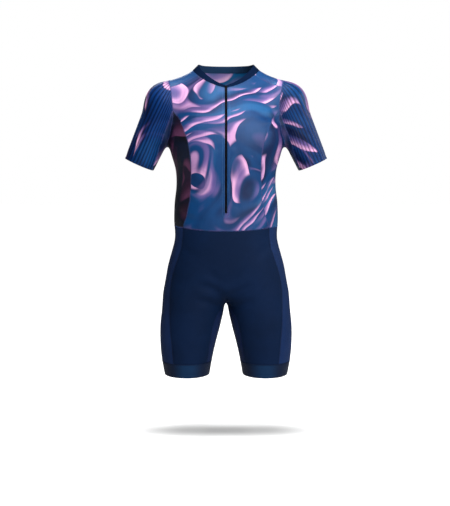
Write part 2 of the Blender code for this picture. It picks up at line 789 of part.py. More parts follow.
def build_sleeves(seams, parent):
    """Ribbed sleeves from the armholes to the hems, and plain panels under the arms."""
    coarse = join(seams.armhole_front, seams.armhole_back)
    coarse_in = -outward(coarse)
    hem_steps = (len(coarse) - 1) * RIB_SPLIT
    top = finer(coarse, RIB_SPLIT)
    bottom = sleeve_hem(UNDERARM_TURN, -UNDERARM_TURN, hem_steps)
    grid = even_patch(bottom, top, seams.sleeve_front[::-1], seams.sleeve_back[::-1])
    inwards = -outward(grid)
    inwards[-1] = finer(coarse_in, RIB_SPLIT)
    column = np.arange(hem_steps + 1)
    round_share = np.sin(math.pi * column / hem_steps)
    ridge = (column % 2) * np.minimum(1.0, RIB_FADE_AT_SEAMS * round_share)
    row = np.linspace(0.0, 1.0, SLEEVE_ROWS + 1)
    fade = np.minimum(1.0, RIB_FADE_AT_HEM * row)
    fade = fade * np.minimum(1.0, RIB_FADE_AT_ARMHOLE * (1.0 - row))
    raised = RIB_HEIGHT * fade[:, None] * ridge[None]
    sheet = Sheet.from_grid(grid, inwards)
    pair("sleeve", sheet, PANEL_WALL, "ribbed_jersey", parent, raised.ravel())

    start, end = UNDERARM_TURN, 2.0 * math.pi - UNDERARM_TURN
    hem = sleeve_hem(start, end, ARMHOLE_LOW_STEPS)
    grid = arm_patch(hem, seams.armhole_low, seams.sleeve_front[::-1], seams.sleeve_back[::-1])
    sheet = Sheet.from_grid(grid, -outward(grid), flip=True)
    pair("underarm", sheet, PANEL_WALL, "side_jersey", parent)


def build_shorts(seams, parent):
    """Front, back, sides and the one piece between the legs."""
    waist_z = seams.waist_front[0, 2]
    front_centre = centre_line(np.linspace(FORK_Z, waist_z, SEAT_ROWS + 1), FRONT)
    front_centre[0], front_centre[-1] = seams.inseam_front[-1], seams.waist_front[0]
    left = join(seams.inseam_front, front_centre)
    grid = patch(seams.band_front, seams.waist_front, left, seams.shorts_front)
    half = Sheet.from_grid(grid, -outward(grid))
    cloth("shorts_front", half.with_mirror(), PANEL_WALL, "navy_jersey", parent)

    waist_z = seams.waist_back[0, 2]
    back_centre = centre_line(np.linspace(FORK_Z, waist_z, SEAT_ROWS + 1), BACK)
    back_centre[0], back_centre[-1] = seams.inseam_back[-1], seams.waist_back[0]
    left = join(seams.inseam_back, back_centre)
    grid = patch(seams.band_back[::-1], seams.waist_back, left, seams.shorts_back)
    half = Sheet.from_grid(grid, -outward(grid), flip=True)
    cloth("shorts_back", half.with_mirror(), PANEL_WALL, "navy_jersey", parent)

    grid = patch(seams.band_side, seams.waist_side, seams.shorts_front, seams.shorts_back)
    sheet = Sheet.from_grid(grid, -outward(grid))
    pair("shorts_side", sheet, PANEL_WALL, "navy_side_jersey", parent)

    bottom = seams.band_inner[::-1]
    grid = patch(bottom, seams.crotch, seams.inseam_front, seams.inseam_back)
    half = Sheet.from_grid(grid, -outward(grid), flip=True)
    cloth("gusset", half.with_mirror(), PANEL_WALL, "navy_side_jersey", parent)


def build_bands(seams, parent):
    """Elastic bands round the ends of the legs."""
    top = join(seams.band_front, seams.band_side, seams.band_back, seams.band_inner)
    turn = np.arctan2(top[:, 1] - LEG_AXIS[1], top[:, 0] - LEG_AXIS[0])
    height = np.array((HEM_Z, (HEM_Z + BAND_TOP_Z) / 2.0))[:, None] * np.ones(len(top))

    def place(t):
        around = (LEG_AXIS[0] + t * np.cos(turn), LEG_AXIS[1] + t * np.sin(turn))
        return np.stack((*around, height), -1)

    grid = np.concatenate((last_inside(place, np.full(height.shape, 0.2)), top[None]))
    sheet = Sheet.from_grid(grid, -outward(grid))
    pair("gripper", sheet.closed_round(grid.shape[1]), BAND_WALL, "band_elastic", parent)


def build_collar(seams, parent):
    """Band collar, low at the zip, leaning in towards the neck."""
    line = join(seams.neck_front, seams.neck_back)
    seam_in = neck_inwards(seams)
    face = collar_face(line, outward(line))
    width, rise = collar_rise(line)
    part = np.linspace(0.0, 1.0, COLLAR_ROWS + 1)[:, None, None]
    grid = line[None] + part * (width[:, None] * rise)[None]
    inwards = np.repeat(-face[None], COLLAR_ROWS + 1, axis=0)
    inwards[0] = seam_in
    grid[:, -1, 0] = 0.0
    half = Sheet.from_grid(grid, inwards)
    cloth("collar", half.with_mirror(), COLLAR_WALL, "collar_band", parent)


def build_tape(grid, inwards, parent):
    """Zip tape behind the slit, made from the front panel's own points."""
    first = FLY_ROWS + 1
    rows = slice(first - 1, first + SLIT_ROWS)
    edge, beside = grid[rows, 0], grid[rows, 1]
    edge_in, beside_in = inwards[rows, 0], inwards[rows, 1]
    part = ((TAPE_HALF - edge[:, 0]) / (beside[:, 0] - edge[:, 0]))[:, None]
    side = edge + part * (beside - edge)
    side_in = edge_in + part * (beside_in - edge_in)
    middle, middle_in = edge.copy(), edge_in.copy()
    middle[:, 0] = 0.0
    middle_in[:, 0] = 0.0
    lines = np.stack((middle, edge, side), axis=1)[1:]
    ways = np.stack((middle_in, edge_in, side_in), axis=1)[1:]
    behind = lines + (PANEL_WALL + SEAM_GAP) * ways
    half = Sheet.from_grid(behind, ways)
    points, faces = half.with_mirror().wall(TAPE_WALL)
    make_object("zip_tape", points, faces, "zip_black", parent)


def build_bar(name, heights, grid, inwards, parent):
    """A bar that fills the slit between two heights, over the tape."""
    rows = slice(FLY_ROWS + 1, FLY_ROWS + 1 + SLIT_ROWS + 1)
    edge, edge_in = grid[rows, 0], inwards[rows, 0]
    line = np.stack([np.interp(heights, edge[:, 2], edge[:, k]) for k in range(3)], -1)
    ways = np.stack([np.interp(heights, edge[:, 2], edge_in[:, k]) for k in range(3)], -1)
    ways[:, 0] = 0.0
    halves = []
    for across in (0.0, CHAIN_HALF):
        moved = line.copy()
        moved[:, 0] = across
        halves.append(moved - CHAIN_PROUD * ways)
    sheet = Sheet.from_grid(np.stack(halves, axis=1), np.stack((ways, ways), axis=1))
    points, faces = sheet.with_mirror().wall(PANEL_WALL + CHAIN_PROUD)
    make_object(name, points, faces, "zip_black", parent, smooth=False)


def box(low, high):
    """A box between two corners."""
    mesh = bmesh.new()
    bmesh.ops.create_cube(mesh, size=1.0)
    for vertex in mesh.verts:
        for axis in range(3):
            share = vertex.co[axis] + 0.5
            vertex.co[axis] = low[axis] + share * (high[axis] - low[axis])
    return mesh


def boxes_as_one(name, boxes, finish_name, parent):
    """Boxes joined into one closed body."""
    solids = []
    for number, (low, high) in enumerate(boxes):
        mesh = bpy.data.meshes.new(f"{name}_{number}")
        shape = box(low, high)
        shape.to_mesh(mesh)
        shape.free()
        thing = bpy.data.objects.new(name if number == 0 else f"{name}_piece_{number}", mesh)
        bpy.context.collection.objects.link(thing)
        solids.append(thing)
    whole = solids[0]
    whole.data.materials.append(finish(finish_name))
    for other in solids[1:]:
        union = whole.modifiers.new("join", "BOOLEAN")
        union.operation = "UNION"
        union.solver = "EXACT"
        union.object = other
        other.hide_render = True
        other.display_type = "WIRE"
    whole.parent = parent
    for other in solids[1:]:
        other.parent = parent
    return whole


def build_slider(grid, parent):
    """Slider with its bridge, and the pull tab that hangs from the bridge."""
    rows = slice(FLY_ROWS + 1, FLY_ROWS + 1 + SLIT_ROWS + 1)
    edge = grid[rows, 0]
    high = np.array([np.interp(SLIDER_PLACE_Z, edge[:, 2], edge[:, k]) for k in range(3)])
    low = np.array([np.interp(SLIDER_PLACE_Z - PULL_LENGTH, edge[:, 2], edge[:, k]) for k in range(3)])
    lean = math.atan2(high[1] - low[1], high[2] - low[2])
    frame = bpy.data.objects.new("slider_place", None)
    bpy.context.collection.objects.link(frame)
    frame.location = (0.0, float(high[1]), float(high[2]))
    frame.rotation_euler = (-lean, 0.0, 0.0)
    frame.parent = parent

    near = -SLIDER_LIFT
    far = near - SLIDER_PLATE
    half_width, half_length = SLIDER_WIDTH / 2.0, SLIDER_LENGTH / 2.0
    inner = near + SLIDER_LIFT + PANEL_WALL
    axis_y = far - PULL_WALL / 2.0 - PULL_CLEAR
    bridge_in = axis_y - PULL_WALL / 2.0 - PULL_CLEAR
    bridge_out = bridge_in - BRIDGE_WALL
    half_bridge = BRIDGE_WIDTH / 2.0
    overlap = BRIDGE_WALL / 4.0
    plate = ((-half_width, far, -half_length), (half_width, near, half_length))
    post = (
        (-POST_WIDTH / 2.0, near - overlap, -POST_LENGTH / 2.0 + 0.002),
        (POST_WIDTH / 2.0, inner, POST_LENGTH / 2.0 + 0.002),
    )
    lower = (
        (-half_bridge, bridge_out, -BRIDGE_REACH),
        (half_bridge, far + overlap, -BRIDGE_REACH + BRIDGE_WALL),
    )
    upper = (
        (-half_bridge, bridge_out, BRIDGE_REACH - BRIDGE_WALL),
        (half_bridge, far + overlap, BRIDGE_REACH),
    )
    span = ((-half_bridge, bridge_out, -BRIDGE_REACH), (half_bridge, bridge_in, BRIDGE_REACH))
    boxes_as_one("zip_slider", (plate, post, lower, upper, span), "zip_black", frame)
    build_pull(frame, axis_y)


def build_pull(frame, axis_y):
    """Flat tab with an eye round the bridge. Its origin lies on its hinge, along X."""
    half_wall = PULL_WALL / 2.0
    half_width = PULL_WIDTH / 2.0
    top = half_wall
    eye_low = -PULL_EYE
    across = (-half_width, -half_width + PULL_RAIL, half_width - PULL_RAIL, half_width)
    heights = (-PULL_LENGTH, eye_low, -half_wall, top)
    mesh = bmesh.new()
    sides = []
    for y in (-half_wall, half_wall):
        sides.append([[mesh.verts.new((x, y, z)) for x in across] for z in heights])
    for number, side in enumerate(sides):
        for row in range(3):
            for column in range(3):
                if row == 1 and column == 1:
                    continue
                corners = [
                    side[row][column],
                    side[row][column + 1],
                    side[row + 1][column + 1],
                    side[row + 1][column],
                ]
                mesh.faces.new(corners if number == 0 else corners[::-1])
    rims = [edge for edge in mesh.edges if edge.is_boundary and edge.verts[0].co.y < 0.0]
    twin = {}
    for row_near, row_far in zip(*sides):
        for a, b in zip(row_near, row_far):
            twin[a] = b
    for edge in rims:
        loop = edge.link_loops[0]
        a, b = loop.vert, loop.link_loop_next.vert
        mesh.faces.new((b, a, twin[a], twin[b]))
    data = bpy.data.meshes.new("zip_pull")
    mesh.to_mesh(data)
    mesh.free()
    data.materials.append(finish("zip_black"))
    thing = bpy.data.objects.new("zip_pull", data)
    bpy.context.collection.objects.link(thing)
    thing.parent = frame
    thing.location = (0.0, axis_y, 0.0)


def main():
    clear_scene()
    suit = bpy.data.objects.new("suit", None)
    bpy.context.collection.objects.link(suit)
    seams = Seams()
    grid, inwards = build_front(seams, suit)
    build_back(seams, suit)
    build_sides(seams, suit)
    build_sleeves(seams, suit)
    build_shorts(seams, suit)
    build_bands(seams, suit)
    build_collar(seams, suit)
    build_tape(grid, inwards, suit)
    stop_top = ZIP_END_Z + STOP_LENGTH
    chain_top = SLIDER_PLACE_Z - SLIDER_LENGTH / 2.0
    chain = np.linspace(stop_top + SEAM_GAP, chain_top, SLIT_ROWS + 1)
    build_bar("zip_chain", chain, grid, inwards, suit)
    build_bar("zip_stop", np.array((ZIP_END_Z + SEAM_GAP, stop_top)), grid, inwards, suit)
    build_slider(grid, suit)


main()
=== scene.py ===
"""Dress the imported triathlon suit: printed jersey, ribbed sleeves, navy shorts, sewing and zip.

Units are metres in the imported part's own frame: +Z is up, -Y the suit's front and +X the wearer's
left. Every cloth piece is a thin closed shell on the worn form that the solids follow, with its
creases as soft troughs and ridges, and every seam is sewn with real threads.
"""

import logging
import math
from collections.abc import Callable
from dataclasses import dataclass, field, replace
from enum import Enum
from functools import cached_property

import bmesh
import bpy
import numpy as np
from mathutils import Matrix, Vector


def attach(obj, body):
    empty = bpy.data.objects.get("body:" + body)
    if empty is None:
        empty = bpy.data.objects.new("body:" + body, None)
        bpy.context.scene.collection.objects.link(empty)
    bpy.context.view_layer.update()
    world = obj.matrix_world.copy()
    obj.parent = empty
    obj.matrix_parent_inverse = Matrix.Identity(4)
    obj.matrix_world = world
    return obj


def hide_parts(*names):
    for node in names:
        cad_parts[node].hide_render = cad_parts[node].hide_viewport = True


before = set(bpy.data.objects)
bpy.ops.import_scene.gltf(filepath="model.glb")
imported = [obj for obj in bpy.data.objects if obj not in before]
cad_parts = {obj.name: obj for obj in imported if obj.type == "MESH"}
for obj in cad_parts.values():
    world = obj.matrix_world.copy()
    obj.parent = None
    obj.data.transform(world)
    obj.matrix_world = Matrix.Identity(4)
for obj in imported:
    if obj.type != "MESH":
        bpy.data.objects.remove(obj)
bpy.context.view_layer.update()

LOG = logging.getLogger("triathlon_suit")

Array = np.ndarray
Rows = tuple[tuple[float, ...], ...]
Material = bpy.types.Material
Socket = bpy.types.NodeSocket
Value = float | tuple | Socket

MIRROR = np.array((-1.0, 1.0, 1.0))
ACROSS = np.array((1.0, 0.0, 0.0))
# Added to the share of the width on a wall's inner side, where finishes show the cloth's reverse.
INNER_SHARE = 2.0


class Body(Enum):
    """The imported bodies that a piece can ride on."""

    GARMENT = "garment"
    PULL = "pull"


class Face(Enum):
    """How the two numbers of a place on the suit are read, to lay it on the worn form."""

    FRONT = "place across and height, seen from the front"
    BACK = "place across and height, seen from behind"
    SLEEVE = "turn round the arm from its outer side, in degrees, and length from the shoulder"


def tone(red: int, green: int, blue: int) -> tuple[float, float, float, float]:
    """Turn a screen colour from 0 to 255 into the linear light that shaders take.

    Args:
        red: Screen red.
        green: Screen green.
        blue: Screen blue.

    Returns:
        Linear red, green, blue and an opacity of one.
    """
    screen = np.array((red, green, blue)) / 255.0
    linear = np.where(screen <= 0.04045, screen / 12.92, ((screen + 0.055) / 1.055) ** 2.4)
    return (*linear.tolist(), 1.0)


def unit(ways: Array) -> Array:
    """Ways brought to length one."""
    return ways / np.linalg.norm(ways, axis=-1, keepdims=True)


# The worn form


def smooth_table(rows: Rows | Array, at: Array) -> Array:
    """Read a table's columns at any value of its first column.

    Each stretch between two rows is a cubic that leaves a row with the same slope as it came in.

    Args:
        rows: Rows whose first column is what is looked up.
        at: Values of the first column.

    Returns:
        The other columns, first axis by column.
    """
    table = np.array(sorted(rows), float) if isinstance(rows, tuple) else rows
    knots = table[:, 0]
    slopes = np.gradient(table, knots, axis=0)
    held = np.clip(at, knots[0], knots[-1])
    row = np.clip(np.searchsorted(knots, held) - 1, 0, len(knots) - 2)
    span = knots[row + 1] - knots[row]
    t = ((held - knots[row]) / span)[..., None]
    start, end = table[row], table[row + 1]
    rise, fall = slopes[row] * span[..., None], slopes[row + 1] * span[..., None]
    cubic = 2.0 * (start - end) + rise + fall
    square = 3.0 * (end - start) - 2.0 * rise - fall
    return np.moveaxis((start + t * (rise + t * (square + t * cubic)))[..., 1:], -1, 0)


def oval_distance(x: Array, y: Array, half_width: Array, half_depth: Array, square: Array) -> Array:
    """Distance to a squarish oval: the reach from its centre times one minus its share of it.

    Args:
        x: Places across, from the oval's centre.
        y: Places fore and aft.
        half_width: Half the oval's width.
        half_depth: Half its depth.
        square: Its power, 2 for an ellipse and more for squarer.

    Returns:
        Distance, negative inside.
    """
    reach = np.hypot(x, y) + 1e-9
    size = np.abs(x / half_width) ** square + np.abs(y / half_depth) ** square
    return reach * (1.0 - size ** (-1.0 / square))


def melt(one: Array, other: Array, reach: float) -> Array:
    """The nearer of two distances, less a rounding of (reach - apart)^2 / 4 reach."""
    blend = np.maximum(reach - np.abs(one - other), 0.0) / reach
    return np.minimum(one, other) - blend * blend * reach / 4.0


def cone_distance(points: Array, start: Array, end: Array, first: float, last: float) -> Array:
    """Distance to a cone with ball ends.

    Between its ends it is the distance from the axis, leaned by the cone's own slope, less the
    radius. Past them it is the distance to the ball.

    Args:
        points: Points, last axis x, y and z.
        start: Centre of the first ball.
        end: Centre of the last ball.
        first: Radius of the first ball.
        last: Radius of the last ball.

    Returns:
        Distance, negative inside.
    """
    axis = end - start
    length = np.linalg.norm(axis)
    axis = axis / length
    lean = (first - last) / length
    upright = math.sqrt(1.0 - lean * lean)
    along = (points - start) @ axis
    aside = np.sqrt(np.maximum(((points - start) ** 2).sum(-1) - along * along, 1e-14))
    foot = along - aside * lean / upright
    held = np.clip(foot, 0.0, length)
    middle = aside * upright + along * lean - first
    ball = np.hypot(aside, along - held) - (first - lean * held)
    return np.where((foot > 0.0) & (foot < length), middle, ball)


@dataclass(frozen=True)
class BodyForm:
    """The worn form: a field that is negative inside and zero on the outside of the cloth."""

    # Height, half width, depth in front, depth behind and squareness of the trunk.
    trunk: Rows = (
        (0.040, 0.060, 0.048, 0.066, 2.0), (0.000, 0.078, 0.058, 0.078, 2.0),
        (-0.040, 0.104, 0.071, 0.090, 2.0), (-0.080, 0.134, 0.091, 0.104, 2.2),
        (-0.120, 0.152, 0.108, 0.113, 2.4), (-0.160, 0.164, 0.1185, 0.1165, 2.6),
        (-0.200, 0.169, 0.1225, 0.1155, 2.6), (-0.240, 0.160, 0.121, 0.111, 2.5),
        (-0.285, 0.148, 0.116, 0.1035, 2.4), (-0.330, 0.146, 0.112, 0.097, 2.3),
        (-0.380, 0.1515, 0.1095, 0.094, 2.3), (-0.430, 0.1535, 0.1085, 0.0955, 2.3),
        (-0.480, 0.151, 0.1085, 0.103, 2.3), (-0.530, 0.157, 0.108, 0.113, 2.3),
        (-0.580, 0.164, 0.105, 0.120, 2.3), (-0.630, 0.156, 0.096, 0.118, 2.2),
        (-0.680, 0.130, 0.078, 0.100, 2.1), (-0.730, 0.100, 0.060, 0.080, 2.0),
    )
    # Height, centre across, centre fore and aft, half width, half depth, squareness of a leg.
    leg: Rows = (
        (-0.460, 0.078, 0.004, 0.056, 0.070, 2.2), (-0.520, 0.080, 0.006, 0.070, 0.086, 2.2),
        (-0.580, 0.087, 0.008, 0.083, 0.098, 2.2), (-0.640, 0.094, 0.007, 0.092, 0.102, 2.2),
        (-0.700, 0.099, 0.0045, 0.0925, 0.0985, 2.15), (-0.750, 0.107, 0.002, 0.0895, 0.093, 2.1),
        (-0.800, 0.1135, 0.001, 0.083, 0.087, 2.1), (-0.850, 0.117, 0.001, 0.0755, 0.080, 2.0),
        (-0.900, 0.117, 0.002, 0.067, 0.0735, 2.0), (-0.950, 0.117, 0.002, 0.060, 0.067, 2.0),
    )
    crotch: float = -0.668
    leg_top: float = -0.50
    leg_axis: tuple[float, float] = (0.117, 0.001)
    arm_tilt: float = math.radians(24.0)
    sleeve_end: tuple[float, float, float] = (0.2554, 0.002, -0.2693)
    sleeve_length: float = 0.195
    shoulder_in: float = 0.0015
    shoulder_radius: float = 0.0560
    sleeve_end_radius: float = 0.0450
    arm_beyond: float = 0.060
    arm_depth: float = 1.08
    neck_root: tuple[float, float, float] = (0.050, 0.012, -0.0335)
    neck_root_radius: float = 0.047
    yoke_end_radius: float = 0.0590
    yoke_melt: float = 0.05
    arm_melt: float = 0.022
    leg_melt: float = 0.03
    fork_melt: float = 0.006
    crotch_melt: float = 0.05

    @property
    def arm_axis(self) -> Array:
        """The way down the arm."""
        return np.array((math.sin(self.arm_tilt), 0.0, -math.cos(self.arm_tilt)))

    @property
    def arm_out(self) -> Array:
        """The way out from the arm, square to its axis."""
        return np.array((math.cos(self.arm_tilt), 0.0, math.sin(self.arm_tilt)))

    @property
    def shoulder(self) -> Array:
        """Centre of the shoulder's ball."""
        end = np.array(self.sleeve_end) - np.array((self.shoulder_in, 0.0, 0.0))
        return end - self.sleeve_length * self.arm_axis

    def value(self, points: Array) -> Array:
        """The field: a trunk of ovals, two legs and two arms that melt together.

        Args:
            points: Points, last axis x, y and z.

        Returns:
            About the distance to the cloth's outside, negative within.
        """
        x, y, z = np.abs(points[..., 0]), points[..., 1], points[..., 2]
        half, front, back, square = smooth_table(self.trunk, z)
        trunk = oval_distance(x, y, half, np.where(y < 0.0, front, back), square)
        trunk = -melt(-trunk, z - self.crotch, self.crotch_melt)
        across, aft, leg_half, leg_depth, leg_square = smooth_table(self.leg, z)
        near = oval_distance(x - across, y - aft, leg_half, leg_depth, leg_square)
        far = oval_distance(x + across, y - aft, leg_half, leg_depth, leg_square)
        legs = melt(near, far, self.fork_melt)
        legs = -melt(-legs, self.leg_top - z, 2.0 * self.leg_melt)
        folded = np.stack((x, y, z), -1)
        shoulder = self.shoulder
        neck = np.array(self.neck_root)
        yoke = cone_distance(folded, neck, shoulder, self.neck_root_radius, self.yoke_end_radius)
        flat = np.stack((x, (y - shoulder[1]) / self.arm_depth + shoulder[1], z), -1)
        narrowing = (self.shoulder_radius - self.sleeve_end_radius) / self.sleeve_length
        end = np.array(self.sleeve_end) + self.arm_beyond * self.arm_axis
        end_radius = self.sleeve_end_radius - self.arm_beyond * narrowing
        arm = cone_distance(flat, shoulder, end, self.shoulder_radius, end_radius)
        whole = melt(trunk, legs, self.leg_melt)
        whole = melt(whole, yoke, self.yoke_melt)
        return melt(whole, arm, self.arm_melt)

    def slope(self, points: Array, step: float = 0.0004) -> Array:
        """Slope of the field, from its change over a small step to both sides.

        Args:
            points: Points, last axis x, y and z.
            step: The small step.

        Returns:
            The slope at each point.
        """
        shifts = step * np.eye(3)
        found = [self.value(points + shift) - self.value(points - shift) for shift in shifts]
        return np.stack(found, -1) / (2.0 * step)

    def outward(self, points: Array) -> Array:
        """Unit normals of the form, which are its slope at length one."""
        return unit(self.slope(points))

    def settle(self, points: Array, lock_x: bool = False, rounds: int = 9) -> Array:
        """Move points onto the form, each along the slope by field over slope squared.

        Args:
            points: Points near the form.
            lock_x: Whether their places across stay as they are.
            rounds: How often the move is made.

        Returns:
            The points on the form.
        """
        points = points.copy()
        stride = 0.015
        for _ in range(rounds):
            steep = self.slope(points)
            if lock_x:
                steep[..., 0] = 0.0
            share = self.value(points) / ((steep ** 2).sum(-1) + 1e-9)
            move = share[..., None] * steep
            size = np.linalg.norm(move, axis=-1, keepdims=True)
            points -= move * np.minimum(1.0, stride / np.maximum(size, 1e-9))
        return points

    def last_inside(self, place: Callable[[Array], Array], reach: Array) -> Array:
        """Where rays leave the form, found by halving the stretch that holds the place.

        Args:
            place: Gives the rays' points at the given distances.
            reach: How far to look along each ray.

        Returns:
            The points where the rays leave.
        """
        low = np.zeros(reach.shape)
        high = reach.copy()
        for _ in range(34):
            middle = (low + high) / 2.0
            inside = self.value(place(middle)) < 0.0
            low = np.where(inside, middle, low)
            high = np.where(inside, high, middle)
        return place((low + high) / 2.0)

    def lay(self, face: Face, places: Array, side: float = 1.0) -> Array:
        """Lay places given by two numbers onto the form.

        Args:
            face: How the two numbers are read.
            places: Rows of two numbers.
            side: +1 for the left sleeve and -1 for the right one.

        Returns:
            Points on the form.
        """
        first, second = places[..., 0], places[..., 1]
        reach = np.full(first.shape, 0.25)
        if face is Face.SLEEVE:
            turn = np.radians(first)
            forward = np.array((0.0, -self.arm_depth, 0.0))
            way = self.arm_out * np.cos(turn)[..., None] + forward * np.sin(turn)[..., None]
            start = self.shoulder + second[..., None] * self.arm_axis
            found = self.last_inside(lambda t: start + t[..., None] * way, reach * 0.35)
            return found * np.array((side, 1.0, 1.0))
        way_out = -1.0 if face is Face.FRONT else 1.0
        return self.last_inside(lambda t: np.stack((first, way_out * t, second), -1), reach)


FORM = BodyForm()


# Lines and patches on the form


def run_length(points: Array) -> Array:
    """Distance along a line at each of its points, as a running sum of its steps."""
    steps = np.linalg.norm(np.diff(points, axis=0), axis=1)
    return np.concatenate(([0.0], np.cumsum(steps)))


def read(at: Array, known: Array, points: Array) -> Array:
    """Points at values of a running number, straight between those at its known values."""
    return np.stack([np.interp(at, known, column) for column in points.T], -1)


def spread(points: Array, steps: int) -> Array:
    """A line's points at equal steps along it, its two ends kept."""
    run = run_length(points)
    return read(np.linspace(0.0, run[-1], steps + 1), run, points)


def finer(line: Array, split: int) -> Array:
    """The same line with each step cut into equal shorter ones."""
    at = np.arange((len(line) - 1) * split + 1) / split
    return read(at, np.arange(len(line)), line)


def smooth_line(rows: Rows | Array, count: int = 320) -> Array:
    """A dense smooth curve through a few rows, read by distance along them.

    Args:
        rows: Its known places.
        count: How many points it gets.

    Returns:
        The curve.
    """
    rows = np.array(rows, float)
    table = np.concatenate((run_length(rows)[:, None], rows), axis=1)
    return np.stack(smooth_table(table, np.linspace(0.0, table[-1, 0], count)), -1)


def join(*lines: Array) -> Array:
    """One line from several that follow each other, each shared end kept once."""
    return np.concatenate([lines[0]] + [line[1:] for line in lines[1:]])


def plumb(across: float, heights: Array, face: Face = Face.FRONT) -> Array:
    """A plumb line laid on the form at one place across, seen from the front or behind."""
    return FORM.lay(face, np.stack((np.full(len(heights), across), heights), -1))


def taut(start: Array, end: Array, steps: int, lock_x: bool = False) -> Array:
    """A straight line between two points on the form, settled on it.

    Args:
        start: First point.
        end: Last point.
        steps: How many steps the line gets.
        lock_x: Whether its places across stay as they are.

    Returns:
        The line.
    """
    line = np.linspace(start, end, steps + 1)
    line[1:-1] = FORM.settle(line[1:-1], lock_x)
    return line


def between(bottom: Array, top: Array, left: Array, right: Array) -> Array:
    """A grid between four lines: the two blends of facing lines, less the blend of the corners.

    Args:
        bottom: Line from left to right.
        top: Line from left to right.
        left: Line upwards.
        right: Line upwards.

    Returns:
        Grid by row and column.
    """
    u = np.linspace(0.0, 1.0, len(bottom))[None, :, None]
    v = np.linspace(0.0, 1.0, len(left))[:, None, None]
    level = (1.0 - v) * bottom[None] + v * top[None]
    upright = (1.0 - u) * left[:, None] + u * right[:, None]
    corners = (1.0 - v) * ((1.0 - u) * bottom[0] + u * bottom[-1])
    corners = corners + v * ((1.0 - u) * top[0] + u * top[-1])
    return level + upright - corners


def with_rims(grid: Array, seams: tuple[Array, ...]) -> Array:
    """Settle a grid's inside on the form, and put its four seams back as they are.

    Args:
        grid: The grid.
        seams: First and last row, first and last column.

    Returns:
        The grid.
    """
    grid[1:-1, 1:-1] = FORM.settle(grid[1:-1, 1:-1])
    grid[0], grid[-1], grid[:, 0], grid[:, -1] = seams
    return grid


def patch(*seams: Array) -> Array:
    """A grid between four seams, given as `between` takes them, settled on the form."""
    return with_rims(between(*seams), seams)


def even_patch(*seams: Array) -> Array:
    """A settled grid whose columns are then each cut into equal steps.

    Args:
        seams: Four seams, given as `between` takes them.

    Returns:
        Grid by row and column.
    """
    bottom, top, left, right = seams
    fine = patch(bottom, top, finer(left, 2), finer(right, 2))
    columns = [spread(fine[:, column], len(left) - 1) for column in range(fine.shape[1])]
    return with_rims(np.stack(columns, axis=1), seams)


def arm_patch(*seams: Array) -> Array:
    """A grid between four seams under the arm, blended as turns round the arm and lengths.

    Each ray from the arm's axis ends where it first leaves the form, found among 61 trials.

    Args:
        seams: Four seams, given as `between` takes them.

    Returns:
        Grid by row and column.
    """
    flat = []
    for line in seams:
        apart = line - FORM.shoulder
        turn = np.arctan2(-apart[:, 1], apart @ FORM.arm_out) % (2.0 * math.pi)
        flat.append(np.stack((turn, apart @ FORM.arm_axis), -1))
    turn, along = np.moveaxis(between(*flat), -1, 0)
    start = FORM.shoulder + along[..., None] * FORM.arm_axis
    forward = np.array((0.0, -1.0, 0.0))
    way = FORM.arm_out * np.cos(turn)[..., None] + forward * np.sin(turn)[..., None]
    trials = np.linspace(0.03, 0.09, 61)
    outside = np.stack([FORM.value(start + trial * way) > 0.0 for trial in trials])
    first = trials[outside.argmax(axis=0)]
    grid = FORM.last_inside(lambda t: start + t[..., None] * way, first)
    grid[0], grid[-1], grid[:, 0], grid[:, -1] = seams
    return grid


# Seams


